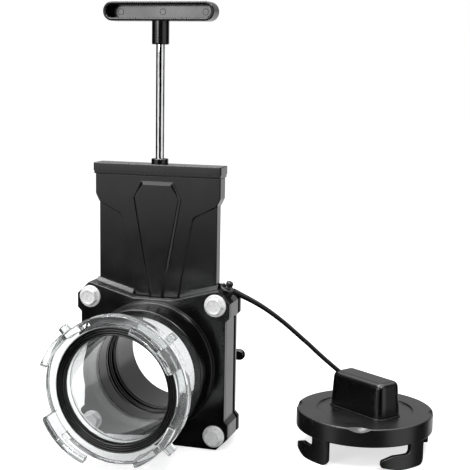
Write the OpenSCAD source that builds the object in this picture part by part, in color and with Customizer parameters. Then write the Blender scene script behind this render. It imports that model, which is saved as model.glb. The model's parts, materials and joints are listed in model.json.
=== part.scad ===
// Slide valve for a 3 inch waste pipe, standing open on a level floor.
// Frame: X across the valve, -Y towards the bayonet coupler, +Z up the gate rod.
// The origin is on the floor, below the bore, in the mid-plane of the gate.

/* [Bore and seals] */
// Radius of the waste bore
bore_r = 38.1; // [36:0.1:41]
// Thickness of each blade seal
seal_t = 5; // [3:0.1:6]
// Radial width of each blade seal
seal_w = 3; // [2:0.1:3.4]

/* [Gate] */
// Thickness of the blade
blade_t = 2.5; // [2:0.1:3.5]
// How far the blade reaches past the bore
blade_lap = 2.4; // [1:0.1:5]
// Clearance round the sliding blade
slide_gap = 0.5; // [0.3:0.1:1]
// Height of the blade above the centre of its round end
blade_tail = 58; // [50:1:80]
// Radius of the gate rod
rod_r = 3.175; // [2.5:0.025:3.5]
// Running clearance of the rod in its gland
rod_clear = 0.08; // [0.02:0.01:0.1]
// Width of the clamp that holds the rod on the blade
clamp_w = 11; // [9:0.5:13]
// Height of the clamp
clamp_h = 12; // [8:0.5:16]
// Clear rod left above the gland when the gate is shut
stop_gap = 3.1; // [2:0.1:8]

/* [Gate housing] */
// Plastic beside the blade slot
housing_wall = 4.9; // [3:0.1:7]
// Thickness of the flat sides of the housing
housing_t = 8; // [7:0.1:10]
// How far the shoulders and the Y-shaped frame stand proud on each face
frame_rise = 1.7; // [1:0.1:3]
// How far the tapered centre panel stands proud of the frame
panel_rise = 1.5; // [0.8:0.1:2.5]
// How much wider the shoulders are on each side
shoulder_step = 2.7; // [1:0.1:4]
// Height of the shoulders below the top cap
shoulder_h = 15; // [10:0.5:25]
// Height of the slope under each shoulder
shoulder_slope = 5.4; // [3:0.1:8]
// Head room above the open blade
head_room = 2.8; // [1:0.1:6]

/* [Housing relief] */
// Width of the centre panel's top edge
panel_top_w = 24.6; // [20:0.2:28]
// Greatest width of the centre panel
panel_w = 37; // [32:0.2:42]
// Width of the centre panel's foot
panel_foot_w = 10.6; // [8:0.2:14]
// Depth of the panel's top edge below the top cap
panel_top_drop = 4.3; // [3:0.1:8]
// Height of the panel's slanted top corners
panel_corner_h = 12.1; // [8:0.1:16]
// Run of the bevel at the panel's top edge
panel_bevel = 2.4; // [1.5:0.1:3]
// Width of the frame below its arms
frame_w = 56.8; // [50:0.2:64]
// Width of the frame at its knees
frame_knee_w = 39; // [34:0.2:44]
// Width of the frame's foot
frame_foot_w = 33.6; // [28:0.2:38]
// Height of the knees above the flanges' dip
frame_knee_h = 17.6; // [10:0.2:24]
// Drop of the frame's arms from the sides to their corners
frame_arm_h = 9; // [6:0.1:14]
// Height of the small cut at those corners
frame_corner_h = 3; // [1:0.1:5]

/* [Top cap and gland] */
// How far the cap overhangs the shoulders at each side
cap_over = 0.9; // [0.5:0.1:3]
// Depth of the cap, front to back
top_cap_d = 16; // [14:0.5:22]
// Height of the cap
top_cap_h = 8.3; // [6:0.1:12]
// Height of the narrower lower band of the cap
band_h = 2.1; // [1:0.1:4]
// How far that band is set in
band_in = 0.5; // [0.3:0.1:0.5]
// Radius of the rod gland
gland_r = 6.25; // [5.5:0.05:7]
// Height of the gland above the cap
gland_h = 4; // [2:0.1:8]

/* [Flanges] */
// Plastic between the blade slot and a bolt hole
bolt_wall = 4.3; // [3:0.1:6]
// Distance from a bolt's centre to the flange's outer edge
ear_margin = 10.6; // [9:0.1:14]
// How far the corner ears stand out from the sides
ear_step = 3; // [1:0.1:5]
// Height of each ear's straight side below its bolt
ear_drop = 9; // [8:0.5:14]
// Size of the chamfer on the ears
ear_chamfer = 9; // [6:0.5:10]
// Thickness of the front flange plate
front_t = 3.8; // [3:0.1:6]
// Reach of the centre block in front of the gate's mid-plane
block_front = 11.4; // [10:0.1:15]
// Thickness of the joint gasket behind the centre block
joint_t = 4.3; // [2:0.1:6]
// How far the joint gasket is set in from the flange's edge
joint_inset = 1.6; // [1:0.1:4]
// Thickness of the rear flange plate
rear_t = 4; // [3:0.1:8]
// Depth of the dip in the flanges' top edge
dip = 9.2; // [4:0.1:12]
// Width of the flat top of each ear
ear_top = 2; // [1:0.1:4]
// Half width of the flat bottom of the dip
dip_flat = 15; // [8:0.5:20]

/* [Front collar] */
// Outer radius of the collar that holds the clear coupler
collar_r = 47; // [45:0.1:52]
// Length of the collar in front of the flange
collar_l = 24; // [18:0.5:32]
// How deep the coupler seats in the collar
socket_l = 14; // [8:0.5:18]
// Height of the low round pad at the collar's foot
pad_t = 0.8; // [0.4:0.1:2]
// How far that pad reaches past the collar
pad_w = 1.8; // [1:0.1:4]

/* [Clear coupler] */
// Wall of the clear tube
tube_wall = 3.4; // [2.5:0.1:5]
// Length of the clear tube in front of the collar
tube_l = 45; // [35:0.5:60]
// How far the rim reaches past the hooks
rim_lip = 0.6; // [0.3:0.1:4]
// Length of the rim along the pipe
rim_l = 9; // [7:0.5:12]
// Radial width of the gasket at the mouth
gasket_w = 6.3; // [4:0.1:7]
// Depth of the gasket's seat
gasket_t = 5; // [3:0.5:6]
// Side of the four grip blocks on the rim
grip_block = 5.5; // [4:0.5:8]
// How far the grip blocks stand out from the rim
grip_block_rise = 5.5; // [2:0.1:7]

/* [Bayonet hooks] */
// Clearance of the coupler's hooks round the mating hub
hook_fit = 2.35; // [1.5:0.05:4]
// Thickness of a hook
hook_t = 4.6; // [3:0.1:6]
// Reach of the coupler's hooks in front of the rim
hook_l = 16; // [14:0.5:20]
// Width of a coupler hook's stem
hook_stem = 17; // [12:0.5:22]
// Length of the finger beyond the stem
hook_finger = 24; // [16:0.5:28]
// Clear gap behind a finger, for the mating lug
hook_gap = 9.4; // [9:0.1:10.5]
// Turn of the coupler's hooks from the top, towards +X
hook_turn = 57.5; // [0:0.5:90]
// Fillet between a coupler hook's stem and finger
hook_fillet = 1.2; // [0.5:0.1:3]

/* [Rear hub] */
// Outer radius of the rear hub
hub_r = 44.45; // [42:0.05:45.3]
// Length of the rear hub behind the flange
hub_l = 28; // [22:0.5:40]
// Radius of a bayonet lug
lug_r = 4.3; // [3:0.1:4.5]
// How far the lugs stand out from the hub
lug_l = 12; // [8:0.5:13]
// Thickness of a lug along the pipe, across its two flats
lug_t = 6.2; // [5:0.1:6.4]
// Distance from the hub's end to the lugs' axis
lug_back = 5; // [4.6:0.1:8]

/* [Bolts] */
// Radius of a bolt's shank
bolt_r = 3.18; // [2.5:0.01:4]
// Radial clearance of a shank in its hole
bolt_clear = 0.32; // [0.2:0.01:0.6]
// Radius of the pressed washer under a bolt's head
bolt_flange_r = 8.2; // [7:0.1:9]
// Width across flats of a bolt's head and of a nut
bolt_af = 11.1; // [9.5:0.1:12.5]
// Height of the hexagon
bolt_hex_h = 3.6; // [3:0.1:6]
// Thickness of the pressed washer
bolt_flange_t = 1.6; // [1:0.1:3]
// Length of thread past the nut
bolt_end = 3; // [1:0.5:8]

/* [Handle] */
// Length of the handle bar
bar_l = 84.4; // [70:0.2:110]
// Height of the bar
bar_h = 13.8; // [13:0.2:20]
// Depth of the bar, front to back
bar_d = 14; // [13:0.5:20]
// Wall round the recess in the bar's front
bar_wall = 2.3; // [1.5:0.1:3.5]
// Thickness of the recess floor
bar_floor = 2.8; // [1.5:0.1:5]
// Radius of the boss below the bar
boss_r = 6.25; // [5.5:0.05:7]
// Length of the boss below the bar
boss_l = 16.5; // [10:0.5:25]
// How far the rod runs up into the boss
rod_grip = 13; // [8:0.5:15]

/* [Bayonet cap] */
// Clearance of the cap's skirt round the rear hub
cap_fit = 0.95; // [0.5:0.05:2]
// Wall of the cap's skirt
cap_wall = 4.6; // [3.6:0.1:6]
// Height of the skirt, outside
skirt_h = 13.3; // [10:0.1:20]
// Thickness of the cap's top
cap_top_t = 4; // [3:0.5:6]
// Radius of the sunk step on the cap's top
step_r = 35.5; // [33:0.5:38]
// Depth of that step
step_d = 1.2; // [0.5:0.1:2]
// Width of the gasket under the cap's top
cap_gasket_w = 6.8; // [4:0.1:9]
// Thickness of that gasket
cap_gasket_t = 2.5; // [1.5:0.1:4]
// Reach of the cap's hooks below the skirt
cap_hook_l = 17.8; // [16.5:0.1:22]
// Thickness of a cap hook
cap_hook_t = 3.8; // [3:0.1:4]
// Width of a cap hook's stem
cap_stem = 14.5; // [10:0.5:18]
// Length of a cap hook's finger
cap_finger = 23; // [16:0.5:26]
// Clear gap behind a cap hook's finger
cap_gap = 6.8; // [6.6:0.1:9]
// Fillet between a cap hook's stem and finger
cap_fillet = 3; // [2:0.1:5]
// Radius of the round tip of a cap hook's finger
cap_tip_r = 2.4; // [1.5:0.1:3]
// Number of finger scallops round the cap's edge
scallops = 4; // [2:1:8]
// Width of a scallop along the cap's edge
scallop_w = 18.8; // [12:0.2:24]
// How far a scallop cuts into the cap's top
scallop_in = 4; // [1:0.1:5]
// How far a scallop cuts down the skirt
scallop_drop = 2.7; // [1:0.1:3.4]
// Turn of the scallops about the cap's axis
scallop_turn = 6; // [-45:1:45]
// Length of the grip across the cap
grip_l = 54; // [40:0.5:60]
// Width of the grip
grip_w = 24; // [15:0.5:26]
// Height of the grip
grip_h = 26; // [18:0.5:32]
// Narrowing of the grip from base to top, on each side
grip_draft = 1.8; // [0:0.1:4]
// Rounding of the grip's corners and top edges
grip_round = 4; // [2:0.5:6]
// Turn of the grip about the cap's axis
grip_turn = -35; // [-60:1:60]
// Turn of the cap's hooks about its axis
cap_turn = -29.5; // [-60:0.5:60]

/* [Tether] */
// Radius of the strap
strap_r = 1.7; // [1.5:0.1:2.4]
// Radius of the anchor's button
button_r = 3.1; // [2.5:0.1:5]
// Height of the button
button_h = 2.6; // [1.5:0.1:4]
// Radius of the pin through the strap's eye
pin_r = 2.1; // [1.5:0.1:2.4]
// Lean of the anchor from upright, towards the cap
anchor_lean = 28; // [0:1:40]
// Radius of the eye on the strap's end
eye_r = 5.4; // [4:0.1:6.5]
// Thickness of that eye
eye_t = 3.2; // [2:0.1:4]

/* [Hidden] */
$fn = 96;
eps = 0.01;

// Gate and housing
blade_r = bore_r + blade_lap;
slot_r = blade_r + slide_gap;
slot_t = blade_t + 2 * slide_gap;
seal_r = bore_r + seal_w;
open_gap = 0.4;
travel = 2 * bore_r + blade_lap + open_gap;
housing_w = 2 * (slot_r + housing_wall);
housing_top = travel + blade_tail + head_room;
shoulder_z = housing_top - shoulder_h;
frame_t = housing_t + 2 * frame_rise;
panel_t = frame_t + 2 * panel_rise;
shoulder_w = housing_w + 2 * shoulder_step;
channel_w = clamp_w + 4 * slide_gap;
channel_t = 2 * rod_r + 2 * slide_gap;

// Flanges, seen along the bore
hole_r = bolt_r + bolt_clear;
bolt_x = slot_r + hole_r + bolt_wall;
ear_w = bolt_x + ear_margin;
mid_w = ear_w - ear_step;
axis_h = ear_w;
dip_z = ear_w - dip;
block_y0 = -block_front;
block_y1 = slot_t / 2 + seal_t;
front_y = block_y0 - front_t;
rear_y0 = block_y1 + joint_t;
rear_y1 = rear_y0 + rear_t;

// Collar and coupler, along the bore
collar_y = front_y - collar_l;
socket_y = collar_y + socket_l;
tube_r = bore_r + tube_wall;
mouth_y = collar_y - tube_l;
rim_y = mouth_y + rim_l;
tube_fit = 0.05;
groove_w = 0.7;
groove_n = 3;
gasket_r = bore_r + gasket_w;
hook_r = hub_r + hook_fit;
rim_r = hook_r + hook_t + rim_lip;
// The grip blocks start within the rim's lip, clear of the hooks' roots
block_x = rim_r - rim_lip / 2;
hub_y = rear_y1 + hub_l;

// Bolts
nut_h = bolt_af / 2;
shank_l = rear_y1 - front_y + nut_h + bolt_end;
thread_gap = 0.02;

// Handle
cap_top_z = housing_top + top_cap_h;
gland_z = cap_top_z + gland_h;
boss_z = gland_z + travel + stop_gap;
bar_z = boss_z + boss_l;

// Bayonet cap, on the floor
cap_x = 152.6;
cap_y = 25;
cap_bore_r = hub_r + cap_fit;
cap_r = cap_bore_r + cap_wall;
skirt_z = cap_hook_l;
disc_z = skirt_z + skirt_h;
skin = 0.2;
scallop_half = scallop_w / 2;
scallop_out = (scallop_half ^ 2 - scallop_in ^ 2) / (2 * scallop_in);
scallop_up = (scallop_half ^ 2 - scallop_drop ^ 2) / (2 * scallop_drop);
scallop_r = norm([scallop_half, scallop_out, scallop_up]);

// Tether
anchor_x = ear_w - 0.8 * ear_chamfer;
anchor_z = axis_h + ear_w - 0.2 * ear_chamfer;
boss_rise = 0.7;
button_gap = 0.3;
STRAP = [
    [57.4, 0.4, 116.7], [61.4, 2.3, 114.4], [65.8, 4.4, 111.9], [70.8, 6.8, 108.9], [75.7, 9.1, 105.7],
    [80.7, 11.3, 102.1], [85.6, 13.7, 98.1], [90.5, 15.9, 93.9], [95.5, 18.2, 89.3], [100.4, 20.5, 84.5],
    [105.4, 22.7, 79.6], [110.4, 25, 74.7], [115.3, 27.2, 69.6], [120.3, 29.5, 64.6], [125.3, 31.8, 59.8],
    [130.2, 33.9, 55.3], [134.7, 36, 51.6]
];

// Lifts a solid made round the bore axis to its height above the floor.
module on_axis() translate([0, 0, axis_h]) children();

// A ring round the bore axis, from y0 to y1.
module ring(r_out, r_in, y0, y1) {
    translate([0, y1, 0]) rotate([90, 0, 0]) difference() {
        cylinder(r = r_out, h = y1 - y0);
        translate([0, 0, -1]) cylinder(r = r_in, h = y1 - y0 + 2);
    }
}

// A flat outline in X and Z, from y0 to y1.
module slab(y0, y1) translate([0, y1, 0]) rotate([90, 0, 0]) linear_extrude(y1 - y0) children();

// The flange outline: eared corners, chamfered, with a dip in the top edge.
module flange_outline(inset = 0) {
    e = ear_w - inset;
    m = mid_w - inset;
    z1 = bolt_x - ear_drop;
    z0 = z1 - ear_step;
    c = ear_chamfer;
    mirrored([
        [e - c, -e], [e, -e + c], [e, -z1], [m, -z0], [m, z0], [e, z1], [e, e - c], [e - c, e],
        [e - c - ear_top, e], [dip_flat, dip_z - inset]
    ]);
}

module bolt_places() for (x = [-1, 1], z = [-1, 1]) translate([x * bolt_x, 0, z * bolt_x]) children();

module bolt_holes(y0, y1) bolt_places() translate([0, y1 + 1, 0]) rotate([90, 0, 0])
    cylinder(r = hole_r, h = y1 - y0 + 2, $fn = 32);

// A round cut along the bore axis, past y0 and y1 where the piece ends there.
module bore_cut(y0, y1, r) translate([0, y1 + 1, 0]) rotate([90, 0, 0]) cylinder(r = r, h = y1 - y0 + 2);

// The space that the blade needs, from its round bottom to the top of the housing.
module blade_slot() {
    slab(-slot_t / 2, slot_t / 2) {
        circle(r = slot_r);
        translate([-slot_r, 0]) square([2 * slot_r, housing_top + 1]);
    }
    translate([-channel_w / 2, -channel_t / 2, blade_tail - clamp_h])
        cube([channel_w, channel_t, housing_top]);
}

// A symmetric outline in X and Z, from the points of its right side, top to foot.
module mirrored(right) {
    n = len(right);
    polygon(concat(right, [for (i = [n - 1 : -1 : 0]) [-right[i][0], right[i][1]]]));
}

// The Y-shaped raised frame on the housing.
module frame_outline() {
    arm_z = shoulder_z - shoulder_slope;
    mirrored([
        [housing_w / 2, housing_top], [housing_w / 2, arm_z], [frame_w / 2, arm_z - frame_arm_h],
        [frame_w / 2 - frame_corner_h / 2, arm_z - frame_arm_h - frame_corner_h],
        [frame_knee_w / 2, dip_z + frame_knee_h], [frame_foot_w / 2, dip_z]
    ]);
}

// The shoulders, wider than the body and stepped in at an angle.
module shoulder_outline() mirrored([
    [shoulder_w / 2, housing_top], [shoulder_w / 2, shoulder_z], [housing_w / 2, shoulder_z - shoulder_slope]
]);

// The tapered centre panel, set in by its bevel.
module panel_outline(inset) {
    top = housing_top - panel_top_drop;
    side_inset = inset * 0.6;
    mirrored([
        [panel_top_w / 2 - side_inset, top - inset], [panel_w / 2 - side_inset, top - panel_corner_h],
        [panel_foot_w / 2 - side_inset, dip_z]
    ]);
}

module centre_panel() {
    for (side = [0, 180]) rotate([0, 0, side]) hull() {
        slab(-frame_t / 2, 0) panel_outline(0);
        slab(-panel_t / 2, 0) panel_outline(panel_bevel);
    }
}

// A bayonet hook's outline, in the tangential direction and the reach: the stem
// starts at zero and the finger points to the left. The finger's end is square
// where tip is 0, and otherwise it narrows to a round tip of that radius.
module hook_outline(reach, stem, finger, gap, fillet, tip) {
    thick = reach - gap;
    corner = thick * 0.42;
    tip_z = (gap + reach) / 2;
    translate([0, -1]) square([stem, reach - corner + 1]);
    translate([0, gap]) square([stem - corner, thick]);
    translate([stem - corner, reach - corner]) circle(r = corner);
    translate([-fillet, gap - fillet]) difference() {
        square(fillet + 1);
        circle(r = fillet);
    }
    if (tip == 0) translate([-finger, gap]) square([finger + 1, thick]);
    if (tip > 0) {
        polygon([
            [1, gap], [-finger * 0.6, gap], [-finger + tip, tip_z - tip],
            [-finger + tip, tip_z + tip], [-finger * 0.4, reach], [1, reach]
        ]);
        translate([-finger + tip, tip_z]) circle(r = tip);
    }
}

// Four hooks that reach down from a rim at z = 0, cut from a tube wall.
module hooks(r_in, r_out, reach, stem, finger, gap, fillet, tip) {
    intersection() {
        translate([0, 0, -reach - 1]) difference() {
            cylinder(r = r_out, h = reach + 2);
            translate([0, 0, -1]) cylinder(r = r_in, h = reach + 4);
        }
        for (a = [0 : 90 : 270]) rotate([0, 0, a]) translate([0, -r_in / 2, 0]) rotate([90, 0, 0])
            linear_extrude(r_in) mirror([0, 1, 0]) translate([-stem / 2, 0])
                hook_outline(reach, stem, finger, gap, fillet, tip);
    }
}

module front_plate() color("#1b1b1c") on_axis() difference() {
    union() {
        slab(front_y, block_y0) flange_outline();
        ring(collar_r + pad_w, bore_r, front_y - pad_t, front_y + eps);
    }
    bore_cut(front_y - pad_t, block_y0, bore_r);
    bolt_holes(front_y, block_y0);
}

module front_collar() color("#1b1b1c") on_axis() difference() {
    ring(collar_r, bore_r, collar_y, front_y - pad_t);
    ring(tube_r + tube_fit, bore_r - 1, collar_y - 1, socket_y);
}

// The block between the flanges, with the blade's slot and the seats of its seals.
module centre_block() color("#232324") on_axis() difference() {
    slab(block_y0, block_y1) flange_outline();
    blade_slot();
    bore_cut(block_y0, block_y1, bore_r);
    translate([0, -slot_t / 2 - seal_t, 0]) rotate([-90, 0, 0]) cylinder(r = seal_r, h = slot_t + 2 * seal_t + 1);
    bolt_holes(block_y0, block_y1);
}

// The tall housing that the open blade stands in.
module gate_housing() color("#232324") on_axis() difference() {
    union() {
        translate([-housing_w / 2, -housing_t / 2, dip_z]) cube([housing_w, housing_t, housing_top - dip_z]);
        slab(-frame_t / 2, frame_t / 2) {
            frame_outline();
            shoulder_outline();
        }
        centre_panel();
    }
    blade_slot();
    slab(-block_front, block_front) flange_outline();
}

module joint_gasket() color("#0c0c0c") on_axis() difference() {
    slab(block_y1, rear_y0) flange_outline(joint_inset);
    bore_cut(block_y1, rear_y0, bore_r);
    bolt_holes(block_y1, rear_y0);
}

module rear_plate() color("#1b1b1c") on_axis() difference() {
    slab(rear_y0, rear_y1) flange_outline();
    bore_cut(rear_y0, rear_y1, bore_r);
    bolt_holes(rear_y0, rear_y1);
}

module rear_hub() color("#1b1b1c") on_axis() ring(hub_r, bore_r, rear_y1, hub_y);

// The four bayonet lugs on the rear hub, round at their ends and flat front and back.
module hub_lugs() color("#1b1b1c") on_axis() for (a = [0 : 90 : 270]) rotate([0, a, 0])
    translate([0, hub_y - lug_back, 0]) difference() {
        rotate([0, 90, 0]) {
            translate([0, 0, bore_r]) cylinder(r = lug_r, h = hub_r - bore_r + lug_l - lug_r);
            translate([0, 0, hub_r + lug_l - lug_r]) sphere(r = lug_r);
        }
        for (side = [-1, 1]) translate([0, side * lug_t - lug_t / 2, -lug_r - 1])
            cube([hub_r + lug_l + 1, lug_t, 2 * lug_r + 2]);
        translate([0, hub_l, 0]) rotate([90, 0, 0]) cylinder(r = hub_r, h = 2 * hub_l);
    }

module front_seal() color("#101010") on_axis() ring(seal_r, bore_r, -slot_t / 2 - seal_t, -slot_t / 2);

module rear_seal() color("#101010") on_axis() ring(seal_r, bore_r, slot_t / 2, block_y1);

module top_cap() color("#2a2a2b") translate([0, 0, axis_h + housing_top]) difference() {
    union() {
        translate([-shoulder_w / 2 - cap_over, -top_cap_d / 2, band_h])
            cube([shoulder_w + 2 * cap_over, top_cap_d, top_cap_h - band_h]);
        translate([-shoulder_w / 2 - cap_over + band_in, -top_cap_d / 2 + band_in, 0])
            cube([shoulder_w + 2 * (cap_over - band_in), top_cap_d - 2 * band_in, band_h + eps]);
    }
    translate([0, 0, -1]) cylinder(r = rod_r + slide_gap, h = top_cap_h + 2);
}

module rod_gland() color("#151515") translate([0, 0, axis_h + cap_top_z]) difference() {
    cylinder(r = gland_r, h = gland_h);
    translate([0, 0, -1]) cylinder(r = rod_r + rod_clear, h = gland_h + 2);
}

module clear_tube() color([0.9, 0.93, 0.94, 0.4]) on_axis() ring(tube_r, bore_r, rim_y, socket_y);

// The coupler's clear rim, with its grip blocks, its gasket seat and four hooks.
module coupler_ring() color([0.9, 0.93, 0.94, 0.4]) on_axis() {
    difference() {
        union() {
            ring(rim_r, bore_r, mouth_y, rim_y);
            for (a = [45 : 90 : 315]) rotate([0, a, 0])
                translate([block_x, mouth_y, -grip_block / 2])
                    cube([rim_r + grip_block_rise - block_x, rim_l, grip_block]);
        }
        ring(gasket_r, bore_r - 1, mouth_y - 1, mouth_y + gasket_t);
    }
    translate([0, mouth_y, 0]) rotate([-90, 0, 0]) rotate([0, 0, hook_turn])
        hooks(hook_r, hook_r + hook_t, hook_l, hook_stem, hook_finger, hook_gap, hook_fillet, 0);
}

// The face gasket at the coupler's mouth, with three fine grooves.
module coupler_gasket() color("#0e0e0e") on_axis() difference() {
    ring(gasket_r, bore_r, mouth_y, mouth_y + gasket_t);
    for (k = [1 : groove_n]) {
        groove_r = bore_r + k * gasket_w / (groove_n + 1);
        ring(groove_r + groove_w / 2, groove_r - groove_w / 2, mouth_y - 1, mouth_y + groove_w);
    }
}

module hexagon(h) cylinder(r = bolt_af / sqrt(3), h = h, $fn = 6);

// A flange bolt at one corner, its head in front of the front flange.
module bolt(x, z) color("#c9cbcd") on_axis() translate([x * bolt_x, front_y, z * bolt_x]) rotate([90, 0, 0]) {
    cylinder(r = bolt_flange_r, h = bolt_flange_t);
    translate([0, 0, bolt_flange_t]) hexagon(bolt_hex_h);
    translate([0, 0, -shank_l]) cylinder(r = bolt_r, h = shank_l + eps, $fn = 32);
}

module nut(x, z) color("#c9cbcd") on_axis() translate([x * bolt_x, rear_y1, z * bolt_x]) rotate([-90, 0, 0])
    difference() {
        hexagon(nut_h);
        translate([0, 0, -1]) cylinder(r = bolt_r + thread_gap, h = nut_h + 2, $fn = 32);
    }

module upper_left_bolt() bolt(-1, 1);
module upper_right_bolt() bolt(1, 1);
module lower_left_bolt() bolt(-1, -1);
module lower_right_bolt() bolt(1, -1);
module upper_left_nut() nut(-1, 1);
module upper_right_nut() nut(1, 1);
module lower_left_nut() nut(-1, -1);
module lower_right_nut() nut(1, -1);

// The anchor's own frame: on the upper right ear, leaning out towards the cap.
module at_anchor() translate([anchor_x, 0, anchor_z]) rotate([0, anchor_lean, 0]) children();

// The strap's eye on its pin, whose foot is cut to the ear's chamfer.
module tether_anchor() color("#141414") difference() {
    at_anchor() {
        translate([0, 0, boss_rise]) cylinder(r = eye_r, h = eye_t);
        translate([0, 0, -pin_r]) cylinder(r = pin_r, h = pin_r + boss_rise + eye_t + button_gap);
    }
    on_axis() slab(block_y0, block_y1) flange_outline();
}

module tether_button() color("#1a1a1a") at_anchor() translate([0, 0, boss_rise + eye_t + button_gap])
    cylinder(r = button_r, h = button_h);

// The strap, swept along its route with eight sides.
function unit(v) = v / norm(v);
function heading(i) = unit(STRAP[min(i + 1, len(STRAP) - 1)] - STRAP[max(i - 1, 0)]);
function side_of(d) = unit(cross(d, [0, 0, 1]));
module tether_strap() color("#161616") {
    sides = 8;
    n = len(STRAP);
    points = [
        for (i = [0 : n - 1]) for (k = [0 : sides - 1])
            let (d = heading(i), s = side_of(d), u = cross(s, d), a = 360 * k / sides)
                STRAP[i] + strap_r * (cos(a) * s + sin(a) * u)
    ];
    walls = [for (i = [0 : n - 2]) for (k = [0 : sides - 1]) let (j = (k + 1) % sides)
        [i * sides + k, i * sides + j, (i + 1) * sides + j, (i + 1) * sides + k]];
    ends = [[for (k = [sides - 1 : -1 : 0]) k], [for (k = [0 : sides - 1]) (n - 1) * sides + k]];
    polyhedron(points, concat(walls, ends), convexity = 4);
}

module at_cap() translate([cap_x, cap_y, 0]) children();

module bayonet_cap() color("#202021") at_cap() {
    difference() {
        translate([0, 0, skirt_z]) cylinder(r = cap_r, h = skirt_h);
        translate([0, 0, skirt_z - 1]) cylinder(r = cap_bore_r, h = skirt_h - cap_top_t + 1);
        translate([0, 0, disc_z - step_d]) cylinder(r = step_r, h = step_d + 1);
        for (k = [0 : scallops - 1]) rotate([0, 0, scallop_turn + k * 360 / scallops])
            translate([cap_r + scallop_out, 0, disc_z + scallop_up]) sphere(r = scallop_r);
    }
    translate([0, 0, skirt_z]) rotate([0, 0, cap_turn + 90]) hooks(
        cap_r - skin - cap_hook_t, cap_r - skin, cap_hook_l, cap_stem, cap_finger, cap_gap, cap_fillet, cap_tip_r
    );
}

module at_grip() at_cap() translate([0, 0, disc_z - step_d]) rotate([0, 0, grip_turn]) children();

module cap_grip() color("#1c1c1d") at_grip() hull() {
    r = grip_round;
    for (x = [-1, 1], y = [-1, 1]) {
        translate([x * (grip_l / 2 - r), y * (grip_w / 2 - r), 0]) cylinder(r = r, h = 1, $fn = 24);
        translate([x * (grip_l / 2 - r - grip_draft), y * (grip_w / 2 - r - grip_draft), grip_h - r])
            sphere(r = r, $fn = 24);
    }
}

module cap_gasket() color("#0d0d0d") at_cap() translate([0, 0, disc_z - cap_top_t - cap_gasket_t])
    difference() {
        cylinder(r = cap_bore_r - skin, h = cap_gasket_t);
        translate([0, 0, -1]) cylinder(r = cap_bore_r - cap_gasket_w, h = cap_gasket_t + 2);
    }

module gate_blade() color("#b9bcbe") on_axis() translate([0, 0, travel]) slab(-blade_t / 2, blade_t / 2) {
    circle(r = blade_r);
    translate([-blade_r, 0]) square([2 * blade_r, blade_tail]);
}

module rod_clamp() color("#9a9da0") on_axis() translate([0, 0, travel]) difference() {
    translate([-clamp_w / 2, -rod_r, blade_tail - clamp_h + slide_gap]) cube([clamp_w, 2 * rod_r, clamp_h]);
    translate([-blade_r, -blade_t / 2, 0]) cube([2 * blade_r, blade_t, blade_tail]);
}

module gate_rod() color("#d5d7d9") translate([0, 0, axis_h + travel + blade_tail + slide_gap])
    cylinder(r = rod_r, h = boss_z + rod_grip - travel - blade_tail - slide_gap);

// A bar with round ends, seen from the front.
module bar_outline(inset) {
    r = bar_h / 2 - inset;
    for (x = [-1, 1]) translate([x * (bar_l - bar_h) / 2, 0]) circle(r = r);
    square([bar_l - bar_h, 2 * r], center = true);
}

module handle_bar() color("#1d1d1e") translate([0, 0, axis_h]) difference() {
    union() {
        translate([0, 0, bar_z + bar_h / 2]) slab(-bar_d / 2, bar_d / 2) bar_outline(0);
        translate([0, 0, boss_z]) cylinder(r = boss_r, h = boss_l + 2);
    }
    translate([0, 0, bar_z + bar_h / 2]) slab(-bar_d / 2 - 1, bar_d / 2 - bar_floor) bar_outline(bar_wall);
    translate([0, 0, boss_z - 1]) cylinder(r = rod_r, h = rod_grip + 1);
}

front_plate();
front_collar();
centre_block();
gate_housing();
joint_gasket();
rear_plate();
rear_hub();
hub_lugs();
front_seal();
rear_seal();
top_cap();
rod_gland();
clear_tube();
coupler_ring();
coupler_gasket();
upper_left_bolt();
upper_right_bolt();
lower_left_bolt();
lower_right_bolt();
upper_left_nut();
upper_right_nut();
lower_left_nut();
lower_right_nut();
tether_anchor();
tether_button();
tether_strap();
bayonet_cap();
cap_grip();
cap_gasket();
gate_blade();
rod_clamp();
gate_rod();
handle_bar();
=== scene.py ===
"""Looks of a slide gate valve for a 3 inch waste pipe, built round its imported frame.

The valve stands open on a pale floor: black moulded ABS flanges and housing, a clear
polycarbonate bayonet coupler in front, zinc plated flange bolts, a chromed gate rod with
a T handle, and a bayonet cap that lies beside it on its moulded strap.
Shapes are worked out in millimetres and turned to metres when a mesh is made.
"""

import json
import math
from types import SimpleNamespace

import bmesh
import bpy
import numpy as np
from mathutils import Matrix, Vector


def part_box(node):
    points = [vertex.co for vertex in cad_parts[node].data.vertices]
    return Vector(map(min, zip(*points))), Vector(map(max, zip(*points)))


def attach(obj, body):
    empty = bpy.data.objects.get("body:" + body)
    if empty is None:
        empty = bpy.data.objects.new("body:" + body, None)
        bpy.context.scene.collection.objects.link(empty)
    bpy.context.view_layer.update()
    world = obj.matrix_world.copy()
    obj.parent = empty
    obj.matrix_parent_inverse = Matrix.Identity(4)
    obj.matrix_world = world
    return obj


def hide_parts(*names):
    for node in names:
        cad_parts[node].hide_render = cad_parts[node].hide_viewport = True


bl_info = {
    "name": "Waste gate valve",
    "version": (1, 0, 0),
    "blender": (4, 5, 0),
    "location": "3D View > Sidebar > Valve",
    "description": "Builds the finishes and fine pieces of a waste gate valve",
    "category": "Object",
}

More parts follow.
